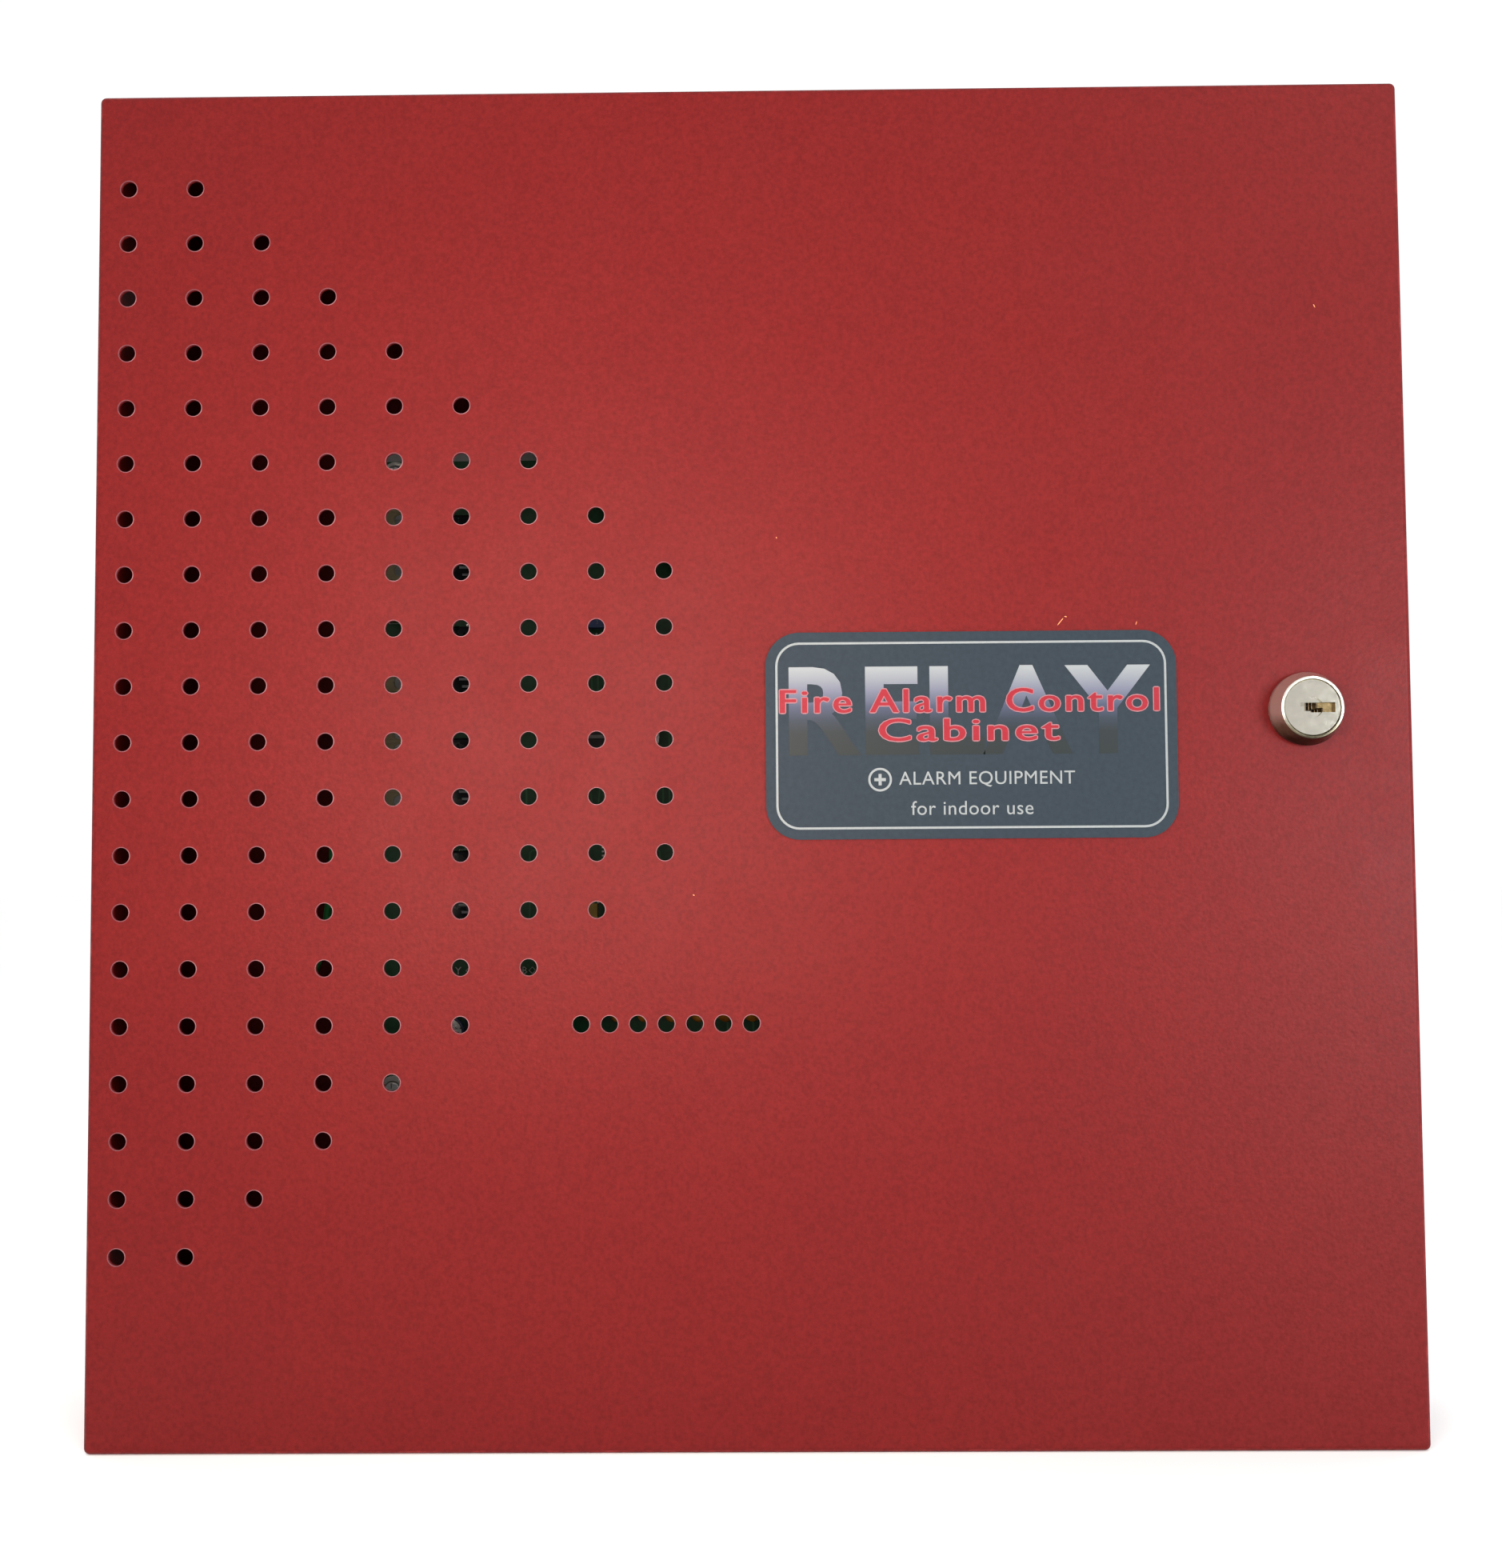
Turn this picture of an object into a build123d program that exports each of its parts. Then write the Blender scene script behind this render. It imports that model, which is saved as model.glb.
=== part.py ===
from build123d import *
from math import pi, radians, tan
import os

# Relay cabinet of a fire alarm control panel, for a wall, in millimetres.
# The wall is the plane y = 0, and the origin is the middle of the backbox's rear face. +X is to the right
# of a person who faces the door, +Z is up, and the door faces -Y. The door is closed and not locked.

# ---- driving dimensions: sheet metal
door_width = 370.4
door_height = 382.5
case_depth = 69.85  # wall to the door's front face
sheet = 1.2  # steel of the backbox, door and chassis
door_flange = 18.0  # depth of the door's folded edges
bend_radius = 1.8  # outside of a fold
side_gap = 2.0  # backbox to the inside of the door's folded edges
lid_gap = 1.15  # backbox lip to the inside of the door
lip_width = 12.0
hinge_lip_width = 2.4  # the lip is narrow beside the hinges, clear of the first column of vents

# ---- driving dimensions: holes in the door
vent_radius = 2.38
vent_pitch_x = 19.05
vent_pitch_z = 15.85
vent_rows = 20
vent_columns = 9
vent_left_margin = 8.9  # door's edge to the first column
vent_top_margin = 27.4  # door's edge to the top row
viewer_count = 7  # holes that show the status lights
viewer_pitch = 7.9
viewer_left_margin = 137.8
viewer_row = 15  # counted from the top row of vents, which is 0

# ---- driving dimensions: nameplate and wiring label
nameplate_size = (114.8, 58.0)
nameplate_thickness = 0.5
nameplate_radius = 9.5
nameplate_place = (61.9, 5.9)
wiring_label_size = (120.0, 140.0)
wiring_label_thickness = 0.25
wiring_label_place = (72.0, -95.0)

# ---- driving dimensions: lock
lock_z = 12.3
lock_lip_gap = 2.35  # lock nut to the backbox lip
lock_barrel_radius = 9.4
lock_head_overlap = 0.85  # head beyond the barrel
lock_head_height = 6.5
lock_face_radius = 7.9
lock_rim = 0.7  # rim round the lock's face
lock_face_sink = 0.3  # face below the rim
lock_hub_radius = 2.9  # round recess in the middle of the face
lock_hub_depth = 0.8
lock_plug_radius = 6.4
lock_wall = 1.6  # plug to the barrel's flats
lock_barrel_length = 11.0  # behind the door's sheet
lock_fit = 0.05  # radial running clearance of the plug
lock_hole_fit = 0.1  # barrel in the door's hole
lock_nut_wall = 2.1
lock_nut_thickness = 4.0
lock_washer_thickness = 0.8
lock_washer_rim = 3.5
keyway_height = 2.7
keyway_sides = (3.4, 6.2)  # from the lock's axis to the keyway's ends
keyway_depth = 6.2
tumbler_thickness = 0.9
tumbler_pitch = 1.6
tumbler_cuts = (0.9, 1.5, 0.7)
cam_overlap = 9.0  # cam behind the lip when it is locked
cam_width = 14.0
cam_thickness = 2.0
cam_square = 8.0
cam_gap = 0.4  # cam to the back of the lip, and to the barrel's end
cam_screw_radius = 2.5
cam_screw_depth = 4.0

# ---- driving dimensions: hinges
hinge_height = 40.0
hinge_z = 120.0  # middle of the upper hinge, and below zero of the lower one
hinge_leaf = 0.9
hinge_leaf_depth = 20.0
hinge_knuckle_radius = 2.3
hinge_pin_radius = 1.2
hinge_fit = 0.05
hinge_gap = 0.6  # knuckle to the box and to the door's folded edge
hinge_play = 0.3  # between the two knuckles

# ---- driving dimensions: wall fixings and conduit knockouts
wall_hole_inset = (29.6, 35.65)  # from the backbox's side and from its end
wall_hole_radius = 3.6
keyhole_radius = 5.0
keyhole_slot = 6.4
keyhole_rise = 11.0
knockout_radii = (11.1, 14.3)
knockout_groove = 0.5
knockout_groove_depth = 0.6
knockout_bridge = 3.0
knockout_pitch = 82.0
knockout_from_wall = 30.0

# ---- driving dimensions: chassis and circuit boards
board_height = 200.0
board_rise = 70.9  # row of viewing holes to the boards' middle
board_thickness = 1.6
board_corner = 2.0
main_board_width = 133.35
lights_inset = 68.1  # main board's left edge to the first status light
board_spacing = 19.15
expansion_board_width = 112.0
chassis_margin = 7.0
chassis_spacer = 8.0
chassis_spacer_radius = 4.5
chassis_fold = 4.8
chassis_stud_radius = 2.0
chassis_stud_inset = (24.0, 18.0)
standoff_height = 10.0
standoff_across = 5.5
board_hole_inset = 4.2
board_screw_radius = 1.45
board_screw_length = 6.6

# ---- driving dimensions: parts on the boards
terminal_pitch = 5.08
terminal_ways = 8
terminal_width = 12.5
terminal_height = 20.0
terminal_step = (2.0, 6.0)  # width and height of the step over the wire entries
terminal_edge = 8.85  # board's edge to the middle of a block
terminal_end_margin = 10.18  # board's top edge to the upper block
terminal_gap = 18.56  # between the two blocks of a side
terminal_screw_radius = 1.75
terminal_screw_offset = 1.5  # from the middle of a block, away from the wires
terminal_screw_sink = 1.2
terminal_screw_well = 4.0
terminal_entry = (5.6, 4.0, 3.4)
terminal_entry_height = 7.0  # board to the middle of a wire entry
relay_size = (12.7, 15.7, 29.0)
relay_base = 2.2
relay_edge = 31.5  # board's edge to the middle of a relay
relay_gap = 5.0  # between two relays of a column
relay_count = 4  # in a column
relay_middle = 14.0  # middle of a column above the boards' middle
header_size = (9.0, 9.0, 20.0)
header_wall = 1.0
header_floor = 2.0
header_edge = 4.0
header_z = -37.0
plug_rise = 6.0  # plug above its header
plug_fit = 0.1
ribbon_width = 12.7
ribbon_thickness = 0.9
ribbon_arch = 7.0
ribbon_bend = 3.5
light_radius = 2.5
light_length = 7.0
light_collar = 0.35
light_standoff = 17.0
dial_radius = 4.4
dial_fit = 0.08
dial_body = 10.0
dial_height = 5.0
dial_place = (8.0, 75.0)  # from the main board's middle line, and above its middle
dip_ways = 4
dip_pitch = 2.54
dip_travel = 1.5
dip_button = 1.2
dip_fit = 0.1
dip_height = 4.0
dip_depth = 1.2
dip_z = 51.0
dip_length = 9.0
dial_pocket = 1.5
dial_bar = (1.6, 1.2, 6.6)  # width, rise and length of the pointer bar
dial_slot = 0.6  # width and depth of its screwdriver slot
processor_size = (20.0, 3.8, 20.0)
processor_place = (0.0, 15.0)  # from the main board's middle, like the places below
driver_chip_size = (7.6, 3.6, 20.0)
driver_chip_place = (7.5, -21.0)
crystal_size = (4.6, 3.5, 11.0)
crystal_place = (18.0, 15.0)
capacitor_sizes = (
    (-43.0, -77.0, 5.0, 12.5),  # x, z, radius and height
    (-29.0, -77.0, 4.0, 11.0),
    (-17.0, -81.0, 4.0, 11.0),
)
network_size = (2.5, 5.0, 20.3)
network_pitch = 6.0
network_z = -49.0

# ---- driving dimensions: earth connection
earth_stud_offset = (27.5, 115.0)  # outside the chassis, and below the boards' middle
earth_stud_radius = 2.5
earth_stud_length = 12.0
earth_washer = 0.8
earth_nut_height = 4.0
earth_wire_radius = 1.2
earth_washer_radii = (5.5, 5.0)  # under the ring terminal, and on top of it
earth_nut_flats = 8.0
earth_ring_radius = 4.6
earth_tongue_width = 4.0
earth_barrel = (7.0, 15.5)  # from the stud's axis to the barrel's ends
earth_barrel_wall = 0.6
earth_barrel_floor = 1.5
chassis_nut_washer = 0.8
chassis_nut_height = 3.2
chassis_nut_flats = 7.0
chassis_stud_rise = 3.0  # stud beyond its nut

# ---- places that follow from them
door_front = -case_depth
door_back = door_front + sheet
flange_end = door_front + door_flange
box_width = door_width - 2 * (sheet + side_gap)
box_height = door_height - 2 * (sheet + side_gap)
box_front = door_back + lid_gap
floor_y = -sheet  # inside of the backbox's rear wall
wall_hole_x = box_width / 2 - wall_hole_inset[0]
wall_hole_z = box_height / 2 - wall_hole_inset[1]
vent_x = -door_width / 2 + vent_left_margin
vent_z = door_height / 2 - vent_top_margin
viewer_x = -door_width / 2 + viewer_left_margin
viewer_z = vent_z - viewer_row * vent_pitch_z
hinge_x = -box_width / 2 - hinge_gap - hinge_knuckle_radius
hinge_y = flange_end + hinge_gap + hinge_knuckle_radius
lock_head_radius = lock_barrel_radius + lock_head_overlap
lock_flats = 2 * (lock_plug_radius + lock_wall)
lock_nut_flats = 2 * (lock_barrel_radius + lock_nut_wall)
lock_nut_radius = lock_nut_flats * 0.55  # its corners are rounded off
lock_x = box_width / 2 - lip_width - lock_lip_gap - lock_nut_radius
lock_head = door_front - lock_head_height
barrel_end = door_back + lock_barrel_length
cam_y = barrel_end + cam_gap / 2
cam_tip_y = box_front + sheet + cam_gap
cam_reach = lock_nut_radius + lock_lip_gap + cam_overlap
chassis_back = floor_y - chassis_spacer
chassis_front = chassis_back - sheet
board_back = chassis_front - standoff_height
board_front = board_back - board_thickness
board_z = viewer_z + board_rise
board_bottom = board_z - board_height / 2
board_top = board_z + board_height / 2
main_board_left = viewer_x - lights_inset
main_board_right = main_board_left + main_board_width
main_board_x = (main_board_left + main_board_right) / 2
expansion_board_left = main_board_right + board_spacing
expansion_board_right = expansion_board_left + expansion_board_width
main_sides = (main_board_left, main_board_right)
expansion_sides = (expansion_board_left, expansion_board_right)
terminal_length = terminal_ways * terminal_pitch
terminal_upper = board_height / 2 - terminal_end_margin - terminal_length / 2
terminal_rows = (terminal_upper, terminal_upper - terminal_length - terminal_gap)  # above the boards' middle
block_front = board_front - terminal_height
relay_front = board_front - relay_size[1]
dial_face = board_front - dial_height
dip_face = board_front - dip_height


# ---- shapes that the pieces share
def block(x, y, z):
    """Box between two values on each axis."""
    size = [high - low for low, high in (x, y, z)]
    middle = [(high + low) / 2 for low, high in (x, y, z)]
    return Pos(*middle) * Box(*size)


def around(middle, size):
    return middle - size / 2, middle + size / 2


def rod_y(x, z, y, radius):
    """Round rod along Y between two values of y."""
    return Pos(x, sum(y) / 2, z) * Rot(90, 0, 0) * Cylinder(radius, abs(y[1] - y[0]))


def rod_z(x, y, z, radius):
    return Pos(x, y, sum(z) / 2) * Cylinder(radius, abs(z[1] - z[0]))


def hex_y(x, z, y, across):
    """Hexagonal rod along Y."""
    outline = RegularPolygon(across / 2, 6, major_radius=False)
    return Pos(x, max(y), z) * Rot(90, 0, 0) * extrude(outline, abs(y[1] - y[0]))


def group(solids):
    """Separate solids that share one node."""
    return Compound(children=[solid for shape in solids for solid in shape.solids()])


def cross_screw(x, z, y, radius, length):
    """Pan-head screw along Y. Its head sits on the plane y, towards the door, and has a crossed recess."""
    head_height = 1.25 * radius
    top, floor = y - head_height, y - head_height / 2
    head = rod_y(x, z, (top, y), radius * 1.9)
    head = fillet(head.edges().group_by(Axis.Y)[0], head_height * 0.4)
    long, short = radius * 3, radius / 2
    recess = block(around(x, long), (top, floor), around(z, short))
    recess += block(around(x, short), (top, floor), around(z, long))
    return head + rod_y(x, z, (y, y + length), radius) - recess


# ---- backbox
def knockout(place):
    """Two ring grooves in the face at place, broken by bridges of whole steel."""
    depth = 2 * knockout_groove_depth
    cut = Part()
    for radius in knockout_radii:
        cut += Cylinder(radius, depth) - Cylinder(radius - knockout_groove, depth)
    return place * (cut - Box(knockout_bridge, 3 * knockout_radii[1], depth))


def keyhole(x, z):
    """Round entry with a narrower slot above it, through the rear wall."""
    top = z + keyhole_rise
    wall = (-2 * sheet, sheet)
    entry = rod_y(x, z, wall, keyhole_radius) + block(around(x, keyhole_slot), wall, (z, top))
    return entry + rod_y(x, top, wall, keyhole_slot / 2)


def backbox():
    half_x, half_z = box_width / 2, box_height / 2
    outside = block((-half_x, half_x), (box_front, 0), (-half_z, half_z))
    outside = fillet(outside.edges(), bend_radius)
    inside_x, inside_z = half_x - sheet, half_z - sheet
    inside = block((-inside_x, inside_x), (box_front + sheet, floor_y), (-inside_z, inside_z))
    inside = fillet(inside.edges(), bend_radius - sheet)
    mouth_x, mouth_z = (hinge_lip_width - half_x, half_x - lip_width), half_z - lip_width
    mouth = block(mouth_x, (box_front - 1, box_front + 2 * sheet), (-mouth_z, mouth_z))
    mouth = fillet(mouth.edges().filter_by(Axis.Y), bend_radius)
    box = outside - inside - mouth
    for side in (-1, 1):
        box -= rod_y(side * wall_hole_x, -wall_hole_z, (-2 * sheet, sheet), wall_hole_radius)
        box -= keyhole(side * wall_hole_x, wall_hole_z)
    for step in (-1.5, -0.5, 0.5, 1.5):
        box -= knockout(Pos(step * knockout_pitch, -knockout_from_wall, half_z))
        box -= knockout(Pos(step * knockout_pitch, -knockout_from_wall, -half_z))
    for z in (-knockout_pitch / 2, knockout_pitch / 2):
        box -= knockout(Pos(half_x, -knockout_from_wall, z) * Rot(0, 90, 0))
        box -= knockout(Pos(-half_x, -knockout_from_wall, z) * Rot(0, 90, 0))
    for x in (-knockout_pitch, 0, knockout_pitch):
        box -= knockout(Pos(x, 0, half_z - knockout_from_wall) * Rot(90, 0, 0))
    return box


# ---- door
def door_panel():
    half_x, half_z = door_width / 2, door_height / 2
    outside = block((-half_x, half_x), (door_front, flange_end), (-half_z, half_z))
    folds = outside.edges().group_by(Axis.Y)[0] + outside.edges().filter_by(Axis.Y)
    outside = fillet(folds, bend_radius)
    inside_x, inside_z = half_x - sheet, half_z - sheet
    inside = block((-inside_x, inside_x), (door_back, flange_end + 1), (-inside_z, inside_z))
    folds = inside.edges().group_by(Axis.Y)[0] + inside.edges().filter_by(Axis.Y)
    inside = fillet(folds, bend_radius - sheet)
    wall = (door_front - 1, door_back + 1)
    holes = []
    for row in range(vent_rows):
        count = min(row + 2, vent_columns, vent_rows + 1 - row)
        for column in range(count):
            x, z = vent_x + column * vent_pitch_x, vent_z - row * vent_pitch_z
            holes.append(rod_y(x, z, wall, vent_radius))
    for place in range(viewer_count):
        holes.append(rod_y(viewer_x + place * viewer_pitch, viewer_z, wall, vent_radius))
    holes.append(lock_barrel(wall, lock_hole_fit))
    return (outside - inside) - holes


def nameplate():
    (width, height), (x, z) = nameplate_size, nameplate_place
    plate = block(around(x, width), (door_front - nameplate_thickness, door_front), around(z, height))
    return fillet(plate.edges().filter_by(Axis.Y), nameplate_radius)


def wiring_label():
    (width, height), (x, z) = wiring_label_size, wiring_label_place
    return block(around(x, width), (door_back, door_back + wiring_label_thickness), around(z, height))


# ---- hinges: the door's leaf drops on a pin that is fixed in the box's leaf
def door_leaf(z):
    """Leaf on the inside of the door's folded edge, with the upper knuckle."""
    leaf_x = -door_width / 2 + sheet
    height = (z + hinge_play / 2, z + hinge_height / 2)
    leaf = block((leaf_x, leaf_x + hinge_leaf), (hinge_y - hinge_leaf_depth + lid_gap, hinge_y), height)
    leaf += rod_z(hinge_x, hinge_y, height, hinge_knuckle_radius)
    return leaf - rod_z(hinge_x, hinge_y, (z, z + hinge_height), hinge_pin_radius + hinge_fit)


def box_leaf(z):
    """Leaf on the outside of the backbox, with the lower knuckle on a short bar."""
    leaf_x = -box_width / 2
    height = (z - hinge_height / 2, z - hinge_play / 2)
    leaf = block((leaf_x - hinge_leaf, leaf_x), (hinge_y, hinge_y + hinge_leaf_depth), height)
    leaf += block((hinge_x, leaf_x), (hinge_y, hinge_y + hinge_leaf), height)
    leaf += rod_z(hinge_x, hinge_y, height, hinge_knuckle_radius)
    return leaf - rod_z(hinge_x, hinge_y, (z - hinge_height, z), hinge_pin_radius)


def hinge_pin(z):
    height = (z - hinge_height / 2, z + hinge_height / 2 - hinge_gap)
    pin = rod_z(hinge_x, hinge_y, height, hinge_pin_radius)
    return chamfer(pin.edges().group_by(Axis.Z)[-1], hinge_pin_radius / 3)


# ---- lock
def lock_rod(y, radius):
    return rod_y(lock_x, lock_z, y, radius)


def lock_barrel(y, gap=0.0):
    """Round bar with two flats, which stop the lock turning in the door."""
    flats = block(around(lock_x, 3 * lock_barrel_radius), y, around(lock_z, lock_flats + 2 * gap))
    return lock_rod(y, lock_barrel_radius + gap) & flats


def lock_body():
    """Turned head with a sloping shoulder, and a barrel with flats, bored for the plug."""
    shoulder, top = lock_head_height * 0.3, lock_face_radius + lock_rim
    outline = Polyline(
        (0, 0),
        (lock_head_radius, 0),
        (lock_head_radius, shoulder),
        (top, lock_head_height),
        (0, lock_head_height),
        close=True,
    )
    head = revolve(Plane.XZ * make_face(outline), Axis.Z)
    head = fillet(head.edges().filter_by(GeomType.CIRCLE), lock_rim / 2)
    body = Pos(lock_x, door_front, lock_z) * Rot(90, 0, 0) * head + lock_barrel((door_front, barrel_end))
    body -= lock_rod((lock_head, door_front), lock_face_radius + lock_fit)
    return body - lock_rod((door_front, barrel_end), lock_plug_radius + lock_fit)


def lock_plug():
    """Turning core: its face, its stem, the square that drives the cam, and the keyway."""
    face = lock_rod((lock_head + lock_face_sink, door_front - lock_fit), lock_face_radius)
    face = chamfer(face.edges().group_by(Axis.Y)[0], lock_face_sink)
    square = block(around(lock_x, cam_square), (cam_y, cam_y + cam_thickness), around(lock_z, cam_square))
    plug = face + lock_rod((door_front - lock_fit, cam_y), lock_plug_radius) + square
    slot = (lock_x - keyway_sides[0], lock_x + keyway_sides[1])
    plug -= block(slot, (lock_head, lock_head + keyway_depth), around(lock_z, keyway_height))
    plug -= lock_rod((lock_head, lock_head + lock_face_sink + lock_hub_depth), lock_hub_radius)
    return plug - lock_rod((barrel_end - cam_screw_depth, cam_y + cam_thickness), cam_screw_radius)


def lock_tumblers():
    """Brass wafers across the keyway's long side, each cut to a different depth for the key."""
    low, high = around(lock_z, keyway_height - 2 * lock_fit)
    wafers = []
    for index, cut in enumerate(tumbler_cuts):
        start = lock_head + lock_face_sink + lock_hub_depth + lock_face_sink + index * tumbler_pitch
        y = (start, start + tumbler_thickness)
        left = lock_x + keyway_sides[0] / 5 + cut
        notch = block((left, left + tumbler_pitch), y, (low, low + keyway_height / 3 + cut / 3))
        wafers.append(block((left, lock_x + keyway_sides[1]), y, (low, high)) - notch)
    return group(wafers)


def lock_washer():
    y = (door_back, door_back + lock_washer_thickness)
    return lock_rod(y, lock_barrel_radius + lock_washer_rim) - lock_rod(y, lock_barrel_radius + lock_fit)


def lock_nut():
    front = door_back + lock_washer_thickness
    y = (front, front + lock_nut_thickness)
    nut = hex_y(lock_x, lock_z, y, lock_nut_flats) & lock_rod(y, lock_nut_radius)
    return nut - lock_rod(y, lock_barrel_radius)


def lock_cam():
    """Steel arm on the plug's square, pointing down. Its cranked tip runs behind the lip."""
    hub_y = (cam_y, cam_y + cam_thickness)
    crank = lock_z - lock_nut_radius - 4 * cam_gap
    side = around(lock_x, cam_width)
    arm = lock_rod(hub_y, cam_width / 2) + block(side, hub_y, (crank - cam_thickness, lock_z))
    arm += block(side, (cam_tip_y, cam_y + cam_thickness), (crank - cam_thickness, crank))
    tip = block(side, (cam_tip_y, cam_tip_y + cam_thickness), (lock_z - cam_reach, crank))
    tip = fillet(tip.edges().filter_by(Axis.Y).group_by(Axis.Z)[0], cam_width / 4)
    return arm + tip - block(around(lock_x, cam_square), hub_y, around(lock_z, cam_square))


def cam_screw():
    """Slotted screw whose head is wider than the square, so it holds the cam on."""
    head_y = cam_y + cam_thickness
    head_radius, head_height = 0.72 * cam_square, cam_screw_radius
    head = lock_rod((head_y, head_y + head_height), head_radius)
    head = fillet(head.edges().group_by(Axis.Y)[-1], head_height / 3)
    slot_y = (head_y + head_height / 2, head_y + head_height)
    head -= block(around(lock_x, 2 * head_radius), slot_y, around(lock_z, head_radius / 5))
    return head + lock_rod((barrel_end - cam_screw_depth, head_y), cam_screw_radius)


# ---- chassis plate and its fixings
chassis_x = (main_board_left - chassis_margin, expansion_board_right + chassis_margin)
chassis_z = (board_bottom - chassis_margin, board_top + chassis_margin)
chassis_fixings = [
    (x, z)
    for x in (chassis_x[0] + chassis_stud_inset[0], chassis_x[1] - chassis_stud_inset[0])
    for z in (chassis_z[0] + chassis_stud_inset[1], chassis_z[1] - chassis_stud_inset[1])
]
board_fixings = [
    (x, z)
    for left, right in (main_sides, expansion_sides)
    for x in (left + board_hole_inset, right - board_hole_inset)
    for z in (board_bottom + board_hole_inset, board_top - board_hole_inset)
]
nut_seat = chassis_front - chassis_nut_washer
nut_top = nut_seat - chassis_nut_height
stud_end = nut_top - chassis_stud_rise


def chassis_plate():
    """Zinc-plated plate with its upper and lower edges folded back towards the wall."""
    fold = (chassis_back, chassis_back + chassis_fold)
    bottom, top = chassis_z
    plate = block(chassis_x, (chassis_front, chassis_back), chassis_z)
    plate += block(chassis_x, fold, (bottom, bottom + sheet)) + block(chassis_x, fold, (top - sheet, top))
    thickness = (chassis_front, chassis_back)
    return plate - [rod_y(x, z, thickness, chassis_stud_radius + 0.3) for x, z in chassis_fixings]


def chassis_studs():
    return group(rod_y(x, z, (stud_end, floor_y), chassis_stud_radius) for x, z in chassis_fixings)


def chassis_spacers():
    span = (chassis_back, floor_y)
    return group(
        rod_y(x, z, span, chassis_spacer_radius) - rod_y(x, z, span, chassis_stud_radius + 0.1)
        for x, z in chassis_fixings
    )


def chassis_nuts():
    """Nuts with a captive washer."""
    nuts = []
    for x, z in chassis_fixings:
        nut = rod_y(x, z, (nut_seat, chassis_front), 0.65 * chassis_nut_flats)
        nut += hex_y(x, z, (nut_top, nut_seat), chassis_nut_flats)
        nuts.append(nut - rod_y(x, z, (stud_end, chassis_front), chassis_stud_radius))
    return group(nuts)


# ---- circuit boards and their fixings
def circuit_board(left, right):
    board = block((left, right), (board_front, board_back), (board_bottom, board_top))
    board = fillet(board.edges().filter_by(Axis.Y), board_corner)
    holes = [(x, z) for x, z in board_fixings if left < x < right]
    return board - [rod_y(x, z, (board_front, board_back), board_screw_radius + 0.25) for x, z in holes]


def board_standoffs():
    """Hexagonal posts, tapped for the board screws."""
    tapped = (board_back, board_back + board_screw_length - board_thickness + 1)
    return group(
        hex_y(x, z, (board_back, chassis_front), standoff_across) - rod_y(x, z, tapped, board_screw_radius)
        for x, z in board_fixings
    )


def board_screws():
    size = (board_screw_radius, board_screw_length)
    return group(cross_screw(x, z, board_front, *size) for x, z in board_fixings)


# ---- terminal blocks: their screws face the door, and wires enter from the board's edge
def terminal_places(left, right):
    """Middle of each block, with the side that its wires enter from."""
    ends = ((left + terminal_edge, -1), (right - terminal_edge, 1))
    return [(x, board_z + row, side) for x, side in ends for row in terminal_rows]


def terminal_z(middle):
    return [middle + (way - (terminal_ways - 1) / 2) * terminal_pitch for way in range(terminal_ways)]


def terminal_blocks(left, right):
    """Blocks with a step along the wire side, a well over each screw and a square entry for each wire."""
    step_width, step_height = terminal_step
    entry_depth, entry_height, entry_width = terminal_entry
    entry_y = around(board_front - terminal_entry_height, entry_height)
    blocks = []
    for x, z, side in terminal_places(left, right):
        outer = x + side * terminal_width / 2
        step = sorted((outer, outer - side * step_width))
        body = block(around(x, terminal_width), (block_front, board_front), around(z, terminal_length))
        body -= block(step, (block_front, block_front + step_height), around(z, terminal_length))
        screw_x = x - side * terminal_screw_offset
        entry_x = sorted((outer, outer - side * entry_depth))
        cuts = []
        for way_z in terminal_z(z):
            well = (block_front, block_front + terminal_screw_well)
            cuts.append(rod_y(screw_x, way_z, well, terminal_screw_radius + 0.1))
            cuts.append(block(entry_x, entry_y, around(way_z, entry_width)))
        blocks.append(body - cuts)
    return group(blocks)


def terminal_screws(left, right):
    """Slotted screws sunk in the blocks' wells."""
    top = block_front + terminal_screw_sink
    screws = []
    for x, z, side in terminal_places(left, right):
        screw_x = x - side * terminal_screw_offset
        for way_z in terminal_z(z):
            screw = rod_y(screw_x, way_z, (top, block_front + terminal_screw_well), terminal_screw_radius)
            slot = block(around(screw_x, 2 * terminal_screw_radius), (top, top + 0.8), around(way_z, 0.6))
            screws.append(screw - slot)
    return group(screws)


# ---- relays
def relay_places(left, right):
    """Two columns on a board."""
    pitch = relay_size[2] + relay_gap
    rows = [board_z + relay_middle + (row - (relay_count - 1) / 2) * pitch for row in range(relay_count)]
    return [(x, z) for x in (left + relay_edge, right - relay_edge) for z in rows]


def relay_bases(left, right):
    width, _, length = relay_size
    base = (board_front - relay_base, board_front)
    return group(block(around(x, width), base, around(z, length)) for x, z in relay_places(left, right))


def relay_covers(left, right):
    """Moulded covers with rounded edges."""
    width, _, length = relay_size
    covers = []
    for x, z in relay_places(left, right):
        cover = block(around(x, width), (relay_front, board_front - relay_base), around(z, length))
        edges = cover.edges().group_by(Axis.Y)[0] + cover.edges().filter_by(Axis.Y)
        covers.append(fillet(edges, relay_base / 3))
    return group(covers)


# ---- parts of the main board only
def on_board(x, z):
    """Place on the main board, from its middle."""
    return main_board_x + x, board_z + z


light_places = [viewer_x + place * viewer_pitch for place in range(viewer_count)]
collar_y = board_front - light_standoff


def status_lights():
    """Round lamps with a collar, one behind each viewing hole."""
    lights = []
    for x in light_places:
        lamp = rod_y(x, viewer_z, (collar_y - light_length, collar_y), light_radius)
        lamp = fillet(lamp.edges().group_by(Axis.Y)[0], light_radius * 0.98)
        lights.append(lamp + rod_y(x, viewer_z, (collar_y - 1.0, collar_y), light_radius + light_collar))
    return group(lights)


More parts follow.
